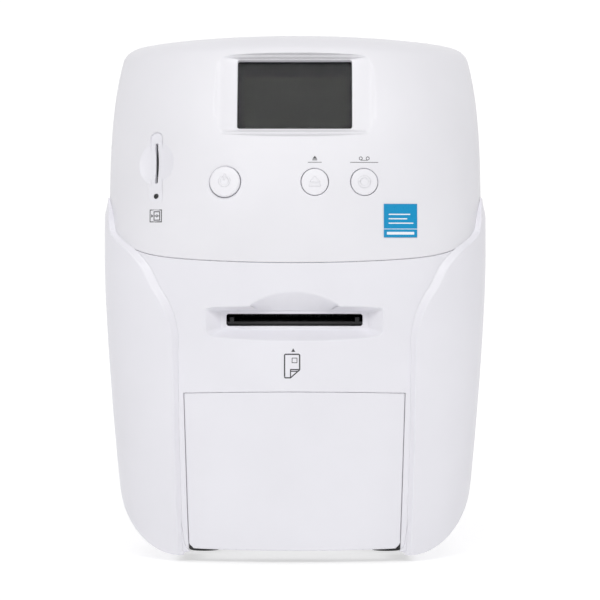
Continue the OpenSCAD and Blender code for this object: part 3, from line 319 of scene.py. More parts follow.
# %% Profile formulas, in millimetres
BODY_H, FOOT, FRONT_Y, BACK_Y = 240.6, 3.0, -186.0, 186.0
CORE_HALF, PROUD, WALL, GAP = 86.1, 2.1, 2.4, 0.15
EDGE_R, CROWN = 7.0, 3.6
SEAM_Z, SEAM_RISE, SHOULDER = 136.0, 30.0, 166.0
BULGE, BULGE_P, BACK_D, BACK_P = 40.0, 2.3, 12.0, 3.0
CURVE_H, CURVE_IN = 32.0, 25.0                 # the curve above the foot: how high, and how far it draws in
WAIST_LOW, WAIST_HIGH, LEAN = 137.0, 147.0, 0.0026


def side_x(z):
    z = np.asarray(z, float)
    upper = 5.0 * (np.maximum(0, z - WAIST_HIGH) / (BODY_H - WAIST_HIGH - 10.6)) ** 3.8
    lower = 10.2 * (np.maximum(0, WAIST_LOW - z) / (WAIST_LOW - FOOT)) ** 1.5
    return CORE_HALF - upper - lower


def half_x(z, inside):
    rise = np.clip((FOOT + CURVE_H - np.asarray(z, float)) / (CURVE_H - inside), 0, 1)
    return side_x(z) + PROUD - inside - (CURVE_IN - inside) * (1 - np.sqrt(1 - rise ** 2))


def foot_rows(count, lift=0.0):
    """Heights up the curve above the foot, for a skin that starts higher by lift."""
    return FOOT + CURVE_H - (CURVE_H - lift) * np.sin(np.linspace(math.pi / 2, 0, count))


def front_in(z):
    z = np.asarray(z, float)
    soft = 1.2                                     # the crease near the foot is softened over this height
    bend = 0.14 * soft * np.logaddexp(0, (25.5 - z) / soft)
    return bend + LEAN * np.maximum(0, z - SEAM_Z) ** 2


def plan_in(x, half, depth, power):
    share = np.clip(np.abs(x) / half, 0, 1)
    return depth * (1 - (1 - share ** power) ** (1 / power))


def front_at(x, z, inside=0.0):
    return FRONT_Y + inside + front_in(z) + plan_in(x, side_x(z) - inside, BULGE, BULGE_P)


def seam_at(x):
    share = np.clip(np.abs(x) / CORE_HALF, 0, 1)
    return SEAM_Z + SEAM_RISE * (0.16 * share ** 2 + 0.43 * share ** 10 + 0.41 * share ** 120)


print("front at mid height:", float(front_at(0, 120)), "half width there:", float(side_x(120)))

# %% [markdown]
# ## From point grids to mouldings
# A moulding has an outer skin, an inner skin one wall thickness further in, and a rim that joins
# them. Both skins are grids of points with the same rows and columns. A solidify modifier could add
# the wall, but drawing both skins keeps the rims square to the seams.

# %% Meshes from grids
WELD = 0.0005                                   # points closer than this, in millimetres, become one


def mesh_object(name, points, faces, finish, weld=0.0):
    mesh = bpy.data.meshes.new(name)
    mesh.from_pydata([tuple(p) for p in np.asarray(points) * 0.001], [], faces)
    work = bmesh.new()
    work.from_mesh(mesh)
    if weld:
        bmesh.ops.remove_doubles(work, verts=work.verts, dist=weld * 0.001)
        bmesh.ops.dissolve_degenerate(work, edges=work.edges, dist=weld * 0.0005)
    bmesh.ops.recalc_face_normals(work, faces=work.faces)
    work.to_mesh(mesh)
    work.free()
    obj = bpy.data.objects.new(name, mesh)
    scene.collection.objects.link(obj)
    mesh.materials.append(FINISH[finish])
    return obj


def two_skins(name, outer, inner, finish, open_sides=()):
    rows, cols = outer.shape[:2]
    points = np.concatenate([outer.reshape(-1, 3), inner.reshape(-1, 3)])
    far = rows * cols
    at = lambda r, c, skin=0: skin * far + r * cols + c
    faces = []
    for r in range(rows - 1):
        for c in range(cols - 1):
            faces.append((at(r, c), at(r, c + 1), at(r + 1, c + 1), at(r + 1, c)))
            faces.append((at(r, c, 1), at(r + 1, c, 1), at(r + 1, c + 1, 1), at(r, c + 1, 1)))
    for c in range(cols - 1):
        for label, r in (("first", 0), ("last", rows - 1)):
            if label not in open_sides:
                faces.append((at(r, c), at(r, c, 1), at(r, c + 1, 1), at(r, c + 1)))
    for r in range(rows - 1):
        for c in (0, cols - 1):
            faces.append((at(r, c), at(r + 1, c), at(r + 1, c, 1), at(r, c, 1)))
    return mesh_object(name, points, faces, finish, WELD)


def shade(obj, angle=28, weighted=True):
    obj.data.shade_smooth()
    obj.data.set_sharp_from_angle(angle=math.radians(angle))
    if weighted:
        even = obj.modifiers.new("even", "WEIGHTED_NORMAL")
        even.keep_sharp = True
        even.mode = "FACE_AREA_WITH_ANGLE"
    return obj


def rim(radius, count=4):
    """Offsets from an edge and how deep the surface lies there, for a quarter-round."""
    turn = np.linspace(0, math.pi / 2, count + 1)
    return radius * (1 - np.cos(turn)), radius * (1 - np.sin(turn))


def spread(half, count, radius):
    """Stations from -half to half, dense near the rounded ends, and the depth at each."""
    offset, depth = (values[:-1] for values in rim(radius))
    inner = np.linspace(-half + radius, half - radius, count)
    return (np.concatenate([-half + offset, inner, (half - offset)[::-1]]),
            np.concatenate([depth, np.zeros(count), depth[::-1]]))

# %% [markdown]
# ## Cutters
# Openings are cut with a tool that flares out in the last fraction of a millimetre before the skin,
# so the rim of every hole comes out rounded. A bevel after the cut could do the same, but it trips
# over the many small faces of a dense skin.

# %% Outlines
def resample(corners, count, smooth=0):
    loop = np.asarray(corners, float)
    closed = np.vstack([loop, loop[:1]])
    share = np.linspace(0, len(loop), count, endpoint=False)
    low = share.astype(int)
    part = (share - low)[:, None]
    made = closed[low] * (1 - part) + closed[low + 1] * part
    for _ in range(smooth):
        made = (np.roll(made, 1, 0) + 2 * made + np.roll(made, -1, 0)) / 4
    return made


def arc(r, start, stop, count, centre=(0, 0)):
    """Points along an arc, between two angles in degrees."""
    turn = np.radians(np.linspace(start, stop, count))
    return np.column_stack([r * np.cos(turn), r * np.sin(turn)]) + centre


def circle(r, count=48):
    return arc(r, 0, 360, count + 1)[:-1]


def round_rect(w, h, r, each=10):
    corners = ((1, 1, 0), (-1, 1, 90), (-1, -1, 180), (1, -1, 270))
    return np.vstack([arc(r, start, start + 90, each, (sx * (w / 2 - r), sz * (h / 2 - r)))
                      for sx, sz, start in corners])

# %% Tools for cutting
def loft(name, rings, finish="casing_white"):
    count = len(rings[0])
    points = np.concatenate(rings)
    faces = [tuple(range(count)), tuple(range(len(points) - count, len(points)))]
    for k in range(len(rings) - 1):
        for j in range(count):
            a, b = k * count + j, k * count + (j + 1) % count
            faces.append((a, b, b + count, a + count))
    return mesh_object(name, points, faces, finish)


def front_depth(p):
    return p[:, 1] - front_at(p[:, 0], p[:, 2])


def crown_at(x):
    """Height of the crowned top."""
    return BODY_H - CROWN * (x / (side_x(BODY_H - CROWN) - EDGE_R)) ** 2


def top_depth(p):
    return crown_at(p[:, 0]) - p[:, 2]


def flared(name, outside, inside, radius, depth_of=front_depth, out=(0, -1, 0)):
    """A tool whose wall runs from the outside loop to the inside loop, flared where it meets the skin."""
    outside, inside = np.asarray(outside, float), np.asarray(inside, float)
    centre = outside.mean(0)
    tangent = np.roll(outside, -1, 0) - np.roll(outside, 1, 0)
    spread_way = np.cross(tangent, np.array(out, float))
    spread_way /= np.linalg.norm(spread_way, axis=1)[:, None] + 1e-9
    if ((outside - centre) * spread_way).sum() < 0:
        spread_way = -spread_way
    rings = [outside + spread_way * radius]        # a flat end, well clear of the bulging skin
    for turn in (None, 0.0, 0.08, 0.2, 0.4, 0.7, 1.0):
        want = -1.5 if turn is None else radius * turn
        low, high = np.full(len(outside), -0.5), np.ones(len(outside))
        for _ in range(40):
            mid = (low + high) / 2
            deeper = depth_of(outside + (inside - outside) * mid[:, None]) > want
            high, low = np.where(deeper, mid, high), np.where(deeper, low, mid)
        ring = outside + (inside - outside) * ((low + high) / 2)[:, None]
        share = 1.0 - (turn or 0.0)
        rings.append(ring + spread_way * radius * (1 - math.sqrt(1 - share ** 2)))
    rings.append(inside)
    return loft(name, rings)


def cut(obj, tools):
    for tool in tools:
        step = obj.modifiers.new("cut", "BOOLEAN")
        step.operation = "DIFFERENCE"
        step.solver = "MANIFOLD"
        step.object = tool
        graph = bpy.context.evaluated_depsgraph_get()
        made = bpy.data.meshes.new_from_object(obj.evaluated_get(graph))
        obj.modifiers.clear()
        old = obj.data
        obj.data = made
        bpy.data.meshes.remove(old)
        bpy.data.objects.remove(tool)
    obj.data.name = obj.name
    return obj

# %% [markdown]
# ### Places on the front
# Keys, signs and openings are drawn flat and then laid on the curved front. A place is a small frame
# of axes: across, inwards, and up along the skin.

# %% Places
def place_on_front(x, z):
    """A frame whose local -Y points straight out of the front skin at (x, z)."""
    tilt = math.atan(2 * LEAN * max(0, z - SEAM_Z))
    yaw = math.atan(float(front_at(x + 1, z) - front_at(x - 1, z)) / 2)
    turn = Matrix.Rotation(yaw, 4, "Z") @ Matrix.Rotation(-tilt, 4, "X")
    return np.array(Matrix.Translation((x, float(front_at(x, z)), z)) @ turn)


def upright(at):
    """The same place, with local Z turned so that it runs straight up in the front view."""
    out = -at[:3, 1]
    up = np.array([0, out[2], -out[1]]) / math.hypot(out[1], out[2])
    there = at.copy()
    there[:3, 0], there[:3, 2] = np.cross(-out, up), up
    return there


def local(at, points):
    return np.asarray(points, float) @ at[:3, :3].T + at[:3, 3]


def on(at, loop, y):
    """An outline laid on a place of the front, y in from the skin."""
    return local(at, flat_loop(loop, y))


def moved(at, x, z):
    """The same frame, moved across and up in its own plane."""
    there = at.copy()
    there[:3, 3] = local(at, (x, 0, z))
    return there


def flat_loop(loop, y):
    """The outline (x, z) at one y."""
    return np.insert(np.asarray(loop, float), 1, y, axis=1)


def flat_at(x, loop):
    """The outline (y, z) at one x."""
    return np.insert(np.asarray(loop, float), 0, x, axis=1)


def plan_at(z, loop):
    """The outline (x, y) at one height."""
    return np.insert(np.asarray(loop, float), 2, z, axis=1)


def declare(obj, body, slot, *nodes):
    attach(obj, body)
    if nodes:
        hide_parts(*nodes)
    return obj

# %% [markdown]
# ## The cover
# The cover is the upper half of the printer: front, sides and top in one moulding that swings up
# about a hinge near the back. It is drawn as hoops. Each hoop starts at the seam on one side, climbs
# the wall, rounds the top edge, crosses the crowned top and comes down on the other side. The hoops
# march from the round tail at the hinge to the middle of the front.

# %% Hoops of the upper casing
HINGE_Y, HINGE_Z, TAIL_R, TAIL_SWING = 70.0, BODY_H - 12, 12.0, 62.3


def half_hoop(f, bottom, inside, y_of, middle_y, seam_r, walls, deeper=None):
    """Up the wall, round the top edge and in to the middle; f is the share of the full half width."""
    r = max(1.0, EDGE_R - inside)
    top = BODY_H - inside - CROWN * f * f
    offset, depth = rim(seam_r)
    z = np.concatenate([bottom + offset[:-1], np.linspace(bottom + seam_r, top - r, walls)])
    skin = inside + np.concatenate([depth[:-1], np.zeros(walls)])
    if deeper is not None:
        skin = skin + deeper(CORE_HALF * f, z)
    phi = np.linspace(0, math.pi / 2, 9)[1:]
    z = np.concatenate([z, top - r * (1 - np.sin(phi))])
    skin = np.concatenate([skin, inside + r * (1 - np.cos(phi))])
    x = (half_x(z, PROUD + inside) - (skin - inside)) * f
    y = y_of(x, z, skin)
    g = np.linspace(0, 1, 25)[1:]
    return np.column_stack([np.append(x, x[-1] * (1 - g)), np.append(y, middle_y(y[-1], g)),
                            np.append(z, BODY_H - inside - CROWN * (f * (1 - g)) ** 2)])


def whole_hoop(half):
    other = half[-2::-1] * np.array([-1, 1, 1])
    return np.vstack([half, other])


def cover_skin(inside, deeper=None):
    def half(f, bottom, y_of, boss=None):
        return half_hoop(f, bottom, inside, y_of, lambda y, g: y - 0.2 * g * min(0.0, y), 0.4, 46, boss)

    hoops = []
    tail = TAIL_R - inside
    for a in np.linspace(90, 0, 9)[:-1]:
        y = HINGE_Y + tail * math.sin(math.radians(a))
        low = max(SHOULDER + GAP / 2, HINGE_Z - math.sqrt(TAIL_SWING ** 2 - (y - HINGE_Y) ** 2))
        hoop = half(1.0, low, lambda x, z, skin: np.full(len(z), y))
        hoop[:, 2] = np.minimum(hoop[:, 2], HINGE_Z + math.sqrt(max(0, tail ** 2 - (y - HINGE_Y) ** 2)))
        hoops.append(whole_hoop(hoop))
    for share in np.linspace(1, 0, 36)[:-1]:
        along = lambda x, z, skin: (1 - share) * (FRONT_Y + front_in(z) + skin + BULGE) + share * HINGE_Y
        hoops.append(whole_hoop(half(1.0, SHOULDER + GAP / 2, along)))
    for t in np.linspace(90, 0, 52):
        f = math.sin(math.radians(t))
        hoops.append(whole_hoop(half(f, float(seam_at(CORE_HALF * f)) + GAP / 2, front_at, deeper)))
    return np.array(hoops)


def display_boss(x, z):
    """Extra depth of the inner skin behind the display, so that the recess has a floor."""
    across = np.clip((42.5 - abs(x)) / 1.5, 0, 1)
    up = np.clip((z - 192) / 1.5, 0, 1)
    return np.maximum(0, 4.5 - plan_in(x, 84.0, BULGE, BULGE_P)) * across * up


cover = two_skins("cover_moulding", cover_skin(0.0), cover_skin(WALL, display_boss), "cover_white",
                  open_sides=("last",))
print("cover faces:", len(cover.data.polygons))

# %% [markdown]
# ### Openings in the cover
# The display sits in a recess with steep upper and lower walls and shallow side walls. Three keys come
# through round holes, and on the left a finger dish with a narrow slot takes a chip card.

# %% Cut the cover's openings
DISPLAY_Z, DISPLAY_DEEP = 214.6, 4.5
KEY_Z = 172.5
KEYS = {"power": (-31.4, 7.0, 1.6), "eject": (9.2, 6.1, 0.4), "ribbon": (31.6, 6.1, 0.4)}
CHIP_X, CHIP_Z = -63.4, 180.9

at_display = place_on_front(0, DISPLAY_Z)
tools = [
    flared("recess_tool", on(at_display, round_rect(128.4, 47.6, 5) + (0, -3.95), -4),
           on(at_display, round_rect(53.4, 35.6, 1.6), DISPLAY_DEEP), 0.6),
    loft("window_tool", [on(at_display, round_rect(52.4, 34.6, 1.2), y) for y in (3.0, 12.0)]),
]
for key, (x, r, _) in KEYS.items():
    spot = place_on_front(x, KEY_Z)
    tools.append(flared(key + "_hole_tool", *(on(spot, circle(r + 0.25, 64), y) for y in (-4, 9)), 0.3))
at_chip = upright(place_on_front(CHIP_X, CHIP_Z))
bowl = [on(at_chip, circle(30 * math.sin(a), 72), -28.1 + 30 * math.cos(a))
        for a in np.linspace(math.radians(0.8), math.radians(26), 40)]
stadium = circle(2.9, 64)
stadium[:, 1] += np.where(np.arange(64) <= 32, 12.2, -15.6)
tools += [
    flared("channel_tool", on(at_chip, stadium, -3), on(at_chip, stadium, 1.0), 0.5),
    loft("dish_tool", bowl[::-1]),
    loft("slot_tool", [on(at_chip, round_rect(1.35, 19, 0.6) + (0, 0.5), y) for y in (-3, 14)]),
    loft("lamp_tool", [on(at_chip, circle(1.2, 32) + (0, -15.0), y) for y in (-3, 6)]),
]
cut(cover, tools)
shade(cover)
declare(cover, "cover", "cover_white", "top_cover")
print("cover faces after cutting:", len(cover.data.polygons))

# %% [markdown]
# ## The front fascia
# Between the side panels and under the cover lies a plain front that carries the card slot and frames
# the door. It is one skin over the whole front curve; the side panels lap over its ends.

# %% Fascia
PATH_Z, SLOT_DEEP = 110.0, 8.0


def fascia_skin(inside, deeper=None):
    columns = []
    offset, depth = rim(0.4)
    for t in np.linspace(-90, 90, 111):
        f = math.sin(math.radians(t))
        top = float(seam_at(CORE_HALF * f)) - GAP / 2
        z = np.concatenate([foot_rows(12, PROUD + inside), np.linspace(FOOT + CURVE_H, top - 0.4, 40)[1:],
                            (top - offset[:-1])[::-1]])
        skin = np.full(len(z), inside, float)
        skin[-len(offset) + 1:] += depth[:-1][::-1]
        if deeper is not None:
            skin = skin + deeper(CORE_HALF * f, z)
        x = (half_x(z, PROUD + inside) - (skin - inside)) * f
        columns.append(np.column_stack([x, front_at(x, z, skin), z]))
    return np.array(columns)


def slot_boss(x, z):
    near = np.clip((46 - abs(x)) / 1.5, 0, 1) * np.clip((z - 95) / 1.5, 0, 1) * np.clip((131 - z) / 1.5, 0, 1)
    return near * np.maximum(0, SLOT_DEEP - plan_in(abs(x), CORE_HALF, BULGE, BULGE_P))


fascia = two_skins("fascia_moulding", fascia_skin(0.0), fascia_skin(WALL, slot_boss), "casing_white")
door_w, door_v = 50.1 + GAP, 50.1 + GAP - 2.2
door_hole = [(-door_w, 76.8 + GAP), (-door_w / 2, 77.4 + GAP), (0, 77.6 + GAP), (door_w / 2, 77.4 + GAP),
             (door_w, 76.8 + GAP), (door_v, 4.0), (door_v - 0.2, -8.0), (0, -8.0), (-door_v + 0.2, -8.0),
             (-door_v, 4.0)]
hole = resample(door_hole, 240)
mouth = resample([(-50, 7.3), (50, 7.3), (48.8, -7.6), (45, -11.2), (-45, -11.2), (-48.8, -7.6)], 240, 10)
throat = resample([(-33.5, 4.2), (33.5, 4.2), (33.5, -3.4), (32.6, -4.2), (-32.6, -4.2), (-33.5, -3.4)],
                  240, 6)
thumb = resample([*arc(35, 130, 50, 17, (0, 16.4 - 35)), (12, 1.0), (-12, 1.0)], 190, 3)
thumb_in = resample([(-16 + 32 * k / 16, 4.2) for k in range(17)] + [(10, 3.0), (-10, 3.0)], 190)
lift = np.array([0, PATH_Z])
deep_y = FRONT_Y + SLOT_DEEP
cut(fascia, [
    flared("door_tool", flat_loop(hole, FRONT_Y - 12), flat_loop(hole, FRONT_Y + 36), 0.3),
    flared("slot_recess_tool", flat_loop(mouth + lift, FRONT_Y - 3), flat_loop(throat + lift, deep_y), 0.5),
    flared("thumb_tool", flat_loop(thumb + lift, FRONT_Y - 3), flat_loop(thumb_in + lift, deep_y - 0.4), 0.6),
    loft("card_slot_tool", [flat_loop(round_rect(61.8, 5.5, 1.2) + lift, FRONT_Y + y) for y in (3, 30)]),
])
shade(fascia)
declare(fascia, "base", "casing_white", "front_fascia")
print("fascia faces:", len(fascia.data.polygons))

# %% [markdown]
# ### The hood behind the slot
# On the real machine a dark guide hides the works behind the card slot. A plain black card over
# the opening would also look dark, but it would close the way; a three-sided hood leaves it free.

# %% Slot hood
hood_section = [(-33, 109.35), (-33, 114.6), (33, 114.6), (33, 109.35), (31.3, 109.35), (31.3, 113.4),
                (-31.3, 113.4), (-31.3, 109.35)]
HOOD_FRONT, HOOD_BACK = -175.3, -161.0
section = resample(hood_section, 96)
hood = loft("slot_hood", [flat_loop(section, y) for y in (HOOD_FRONT, HOOD_BACK)], "black_plastic")
declare(hood, "base", "black_plastic")
print("hood length:", HOOD_BACK - HOOD_FRONT)

# %% [markdown]
# ## The side panels
# Each side panel stands proud of the fascia. Its front edge climbs almost straight, then sweeps out
# in an S to the shoulder. It climbs out of the fascia over nearly four millimetres, which gives the bright
# line down the front of the printer. Rows run along the height, and columns run back from that edge.

# %% Side panels
PANEL_BACK, LAP = 169.5, 0.3                   # where a panel ends, and how far its flat back stands off
WING_REACH = np.array([0, 0.07, 0.15, 0.24, 0.35, 0.46, 0.57, 0.68, 0.78, 0.89, 1.0])


def wing_edge(z):
    keys = [(-5, 52.1), (6, 52.1), (54.8, 53.6)]
    keys += [(z, x) for x, z in arc(40, 186, 142, 23, (93.9, 100))]
    keys += [(134.2, 67.1), (141.7, 73.8), (146.8, 81.1), (150.5, 84.4), (157, 85.5), (166, 86.1),
             (175, 86.1)]
    dense = np.linspace(-5, 175, 721)
    shape = np.interp(dense, *zip(*keys))
    window = np.hanning(25)
    soft = np.convolve(np.pad(shape, 12, mode="edge"), window / window.sum(), mode="valid")
    return np.interp(z, dense, soft)


def seam_edge(z):
    x = np.linspace(0, CORE_HALF, 400)
    return np.interp(z, seam_at(x) - GAP / 2, x)


def ease(t):
    return t * t * (3 - 2 * t)


def panel_out(z):
    fall = np.clip((SHOULDER + 1 - np.asarray(z, float)) / 11, 0, 1)
    return PROUD * (0.3 + 0.7 * ease(fall))


def panel_skin(under):
    """The outer skin, or with under the flat back that lies against the casing."""
    top = SHOULDER - GAP
    z_rows = np.concatenate([foot_rows(14), np.linspace(FOOT + CURVE_H, 150, 74)[1:],
                             np.linspace(150, top - 0.6, 26)[1:],
                             top - 0.6 + 0.6 * np.sin(np.linspace(0, math.pi / 2, 5))[1:]])
    rows = []
    for z in z_rows:
        out = float(panel_out(z))
        reach = WING_REACH * float(np.interp(z, (80, 100, 122, 148, 158), (1.2, 1.8, 3.7, 3.7, 1.3)))
        full = float(half_x(z, 0.0)) - (PROUD - out)
        edge = min(max(float(wing_edge(z)), float(seam_edge(z)) if z > SEAM_Z else 0), full - 0.4)
        slope = abs(float(front_at(edge + 0.5, z) - front_at(edge - 0.5, z)))
        run = min(0.25 if edge > full - 4 else 1, 1 / math.hypot(1, slope))
        t_near = np.arcsin(np.minimum(edge + reach * run, full) / full)
        t = np.concatenate([t_near, np.linspace(t_near[-1], math.pi / 2, 34)[1:]])
        deep = np.zeros(len(t))
        deep[:len(reach)] = (out - 0.02) * (1 - ease(WING_REACH))
        if under:
            skin = -np.minimum(LAP, 0.5 * (out - deep))
            height = max(z, FOOT + PROUD - LAP + 0.02)
            x = float(half_x(height, PROUD - LAP)) * np.sin(t)
        else:
            skin, height = deep - out, z
            x = (full - deep) * np.sin(t)
        y = FRONT_Y + float(front_in(z)) + skin + plan_in(x, float(side_x(z)) - skin, BULGE, BULGE_P)
        back = np.linspace(0, 1, 45)[1:]
        x = np.append(x, np.full(44, x[-1]))
        y = np.append(y, y[-1] + back * (PANEL_BACK - y[-1]))
        rows.append(np.column_stack([x, y, np.full(len(x), height)]))
    return np.array(rows)


outer, under = panel_skin(False), panel_skin(True)
for side, name in ((1, "right"), (-1, "left")):
    turn_over = np.array([side, 1, 1])
    panel = two_skins(name + "_side_moulding", outer * turn_over, under * turn_over, "panel_white")
    shade(panel)
    declare(panel, "base", "panel_white", name + "_panel")
    print(name, "panel faces:", len(panel.data.polygons))

# %% [markdown]
# ## The front door
# The door folds down on two short arms to give up the printed cards. It has a shallow crease a hand's
# breadth below its top, where a lower lip leans in. A grid stretched over the door's outline follows
# the front's own formula, and every edge is rounded the same small amount.

# %% Door
DOOR_HALF, DOOR_RISE = 49.0, 71.0              # the grid's half width and height, for its rounded edges


def door_skin(inside, radius=0.5):
    offset, _ = rim(radius)
    near = offset / DOOR_HALF
    u = np.concatenate([-1 + near, np.linspace(-1 + near[-1], 1 - near[-1], 61)[1:-1], (1 - near)[::-1]])
    near = offset / DOOR_RISE
    v = np.concatenate([near, np.linspace(near[-1], 1 - near[-1], 61)[1:-1], (1 - near)[::-1]])
    rows = []
    for share in v:
        corner = np.clip((np.abs(u) - 0.95) / 0.05, 0, 1)
        z_low = 5.6 + 0.6 * u ** 2 + 2.4 * corner ** 2 * (1 - share)
        z = z_low + share * (77.6 - 0.8 * u ** 2 - z_low)
        half = 47.9 + 2.2 * (z - 5.6) / 72
        x = u * half
        side = np.maximum(0, radius - (1 - np.abs(u)) * DOOR_HALF)
        end = max(0.0, radius - min(share, 1 - share) * DOOR_RISE)
        depth = radius - np.sqrt(np.maximum(0, radius ** 2 - side ** 2 - end ** 2))
        rows.append(np.column_stack([x, front_at(x, z, inside) + (depth if inside == 0 else 0), z]))
    return np.array(rows)


door = two_skins("door_moulding", door_skin(0.0), door_skin(WALL), "casing_white")
shade(door)
declare(door, "door", "casing_white", "front_door")


def prism_x(name, outline, x0, x1, finish, chamfer=0.3):
    """A side-view outline (y, z) carried from x0 to x1, with chamfered ends."""
    outline = np.asarray(outline, float)
    middle = outline.mean(0)
    size = np.abs(outline - middle).max()
    small = middle + (outline - middle) * (1 - chamfer / size)
    ends = ((x0, small), (x0 + chamfer, outline), (x1 - chamfer, outline), (x1, small))
    return loft(name, [flat_at(x, loop) for x, loop in ends], finish)


def pair_x(name, outline, near, far, finish):
    """The same prism left and right, from near to far out of the middle."""
    return [prism_x(name, outline, *sorted((side * near, side * far)), finish) for side in (-1, 1)]


def join(name, pieces):
    target = pieces[0]
    work = bmesh.new()
    for piece in pieces:
        work.from_mesh(piece.data)
    work.to_mesh(target.data)
    work.free()
    for piece in pieces[1:]:
        bpy.data.objects.remove(piece)
    target.name = target.data.name = name
    return target


DOOR_Y, DOOR_Z = -176.5, 13.0
arm_outline = [*arc(3, -90, 90, 13, (DOOR_Y, DOOR_Z)), (-181.2, DOOR_Z + 8), (-181.8, DOOR_Z + 8),
               (-181.8, DOOR_Z - 3)]
arms = pair_x("arm", arm_outline, 20.5, 24.0, "casing_white")
arms += pair_x("pin", circle(2.0, 32) + (DOOR_Y, DOOR_Z), 23.5, 28.5, "casing_white")
door_arms = shade(join("door_arms", arms))
declare(door_arms, "door", "casing_white")
print("door faces:", len(door.data.polygons))

# %% [markdown]
# ## The back
# The rear panel wraps the lower back and both rear corners. The sockets and the air slots are cut
# right through it; the screw seats are shallow counterbores.

# %% Rear panel
SKIN_START = 170.0


def rear_skin(under):
    z_out = np.concatenate([foot_rows(14), np.linspace(FOOT + CURVE_H, SHOULDER - 4.5, 60)[1:],
                            SHOULDER - 4.5 + 4.5 * np.sin(np.linspace(0, math.pi / 2, 9))[1:]])
    lift = PROUD + WALL
    z_in = np.concatenate([foot_rows(14, lift), z_out[14:]])
    rows = []
    for z, zi in zip(z_out, z_in):
        angles = np.radians(np.linspace(90, -90, 71))
        f = np.sin(angles)
        if under:
            half, skin, height = float(half_x(zi, lift)), WALL, zi
        else:
            skin = -float(panel_out(z))
            half, height = float(half_x(z, PROUD + skin)), z
        x = half * f
        back = BACK_Y - max(0, skin) - plan_in(x, float(side_x(height)) - skin, BACK_D, BACK_P)
        side = np.linspace(SKIN_START, back[0], 4)[:-1]
        x = np.concatenate([np.full(3, half), x, np.full(3, -half)])
        y = np.concatenate([side, back, side[::-1]])
        rows.append(np.column_stack([x, y, np.full(len(x), height)]))
    floor = [rows[0] * np.array([share, 1, 1]) for share in (0.0, 0.5)]
    return np.array(floor + rows)


rear = two_skins("rear_moulding", rear_skin(False), rear_skin(True), "base_grey", open_sides=("first",))


def back_depth(p):
    return BACK_Y - plan_in(p[:, 0], side_x(p[:, 2]) + PROUD, BACK_D, BACK_P) - p[:, 1]


def through_back(name, loop, radius=0.5, y_in=150.0):
    return flared(name, flat_loop(loop, BACK_Y + 6), flat_loop(loop, y_in), radius, back_depth, (0, 1, 0))


tools = [through_back("inlet_tool", round_rect(28, 24, 1.0) + (-28, 36)),
         through_back("ports_tool", round_rect(44, 18, 1.0) + (22, 34))]
for x in (-63, 63):
    for k in range(6):
        tools.append(through_back("vent_tool", round_rect(26, 2.5, 1.2) + (x, 62 + 5.5 * k + 1.25), 0.4))
SCREWS = [(-60, 26), (60, 26), (-60, 140), (60, 140)]
for x, z in SCREWS:
    seat = BACK_Y - 1.3 - float(plan_in(x, float(side_x(z)) + PROUD, BACK_D, BACK_P))
    tools.append(through_back("seat_tool", circle(3.1, 40) + (x, z), 0.3, seat))
cut(rear, tools)
shade(rear)
declare(rear, "base", "base_grey", "rear_panel")
print("rear faces:", len(rear.data.polygons))

# %% [markdown]
# ## The hopper housing and its lid
# Behind the cover the top stays fixed: a housing that closes the back, with an opening over the
# hopper. It uses the same hoops as the cover, turned to the rear.

# %% Rear housing
SPLIT_Y = 82.5


def housing_skin(inside):
    def back_y(x, z, skin):
        return BACK_Y - skin - plan_in(x, side_x(z) - skin, BACK_D, BACK_P)

    def middle_y(y, g):
        return SPLIT_Y + (y - SPLIT_Y) * (1 - 0.2 * g)

    hoops = []
    for share in np.linspace(0, 1, 34)[:-1]:
        along = lambda x, z, skin: SPLIT_Y + share * (back_y(x, z, skin) - SPLIT_Y)
        hoops.append(whole_hoop(half_hoop(1.0, SHOULDER, inside, along, middle_y, 0.5, 40)))
    for t in np.linspace(90, 0, 46):
        f = math.sin(math.radians(t))
        hoops.append(whole_hoop(half_hoop(f, SHOULDER, inside, back_y, middle_y, 0.5, 40)))
    return np.array(hoops)


housing = two_skins("housing_moulding", housing_skin(0.0), housing_skin(WALL), "casing_white",
                    open_sides=("last",))
LID_HALF, LID_FRONT, LID_Y, LID_Z, LID_R = 35.0, 89.5, 168.0, BODY_H - 8, 8.0
lid_hole = round_rect(2 * LID_HALF + 2 * GAP, LID_Y + LID_R - LID_FRONT + 2 * GAP, 0.8, 20)
lid_hole = lid_hole + (0, (LID_FRONT + LID_Y + LID_R) / 2)
cut(housing, [flared("lid_hole_tool", plan_at(BODY_H + 4, lid_hole), plan_at(BODY_H - 20, lid_hole), 0.5,
                     top_depth, (0, 0, 1))])
shade(housing)
declare(housing, "base", "casing_white", "rear_housing")

# %% Hinge seats of the lid, inside the housing
ring = [(LID_Y + y, LID_Z + z) for y, z in ((-6.5, -5.5), (6.5, -5.5), (6.5, 5.2), (-6.5, 5.2))]
seats = pair_x("seat", resample(ring, 48, 4), LID_HALF + GAP, LID_HALF + 4.5, "casing_white")
lid_seats = shade(join("lid_seats", seats))
declare(lid_seats, "base", "casing_white")

# %% Hopper lid
def lid_outline(shrink=0.0):
    near, top, base, nose = LID_FRONT + shrink, BODY_H - shrink, LID_Z - 1.0, 0.9
    points = [(near, base), (near, BODY_H - nose - shrink)]
    points += [(near + nose * (1 - math.cos(a)), top - nose * (1 - math.sin(a)))
               for a in np.linspace(0, math.pi / 2, 6)[1:]]
    points += [(y, top) for y in np.linspace(LID_FRONT + 6, LID_Y, 20)]
    points += [*arc(LID_R - shrink, 90, math.degrees(0.13) - 180, 40, (LID_Y, LID_Z))[1:]]
    points += [(y, base) for y in np.linspace(LID_Y - (LID_R - shrink) - 2, LID_FRONT + 6, 16)]
    return np.array(points)


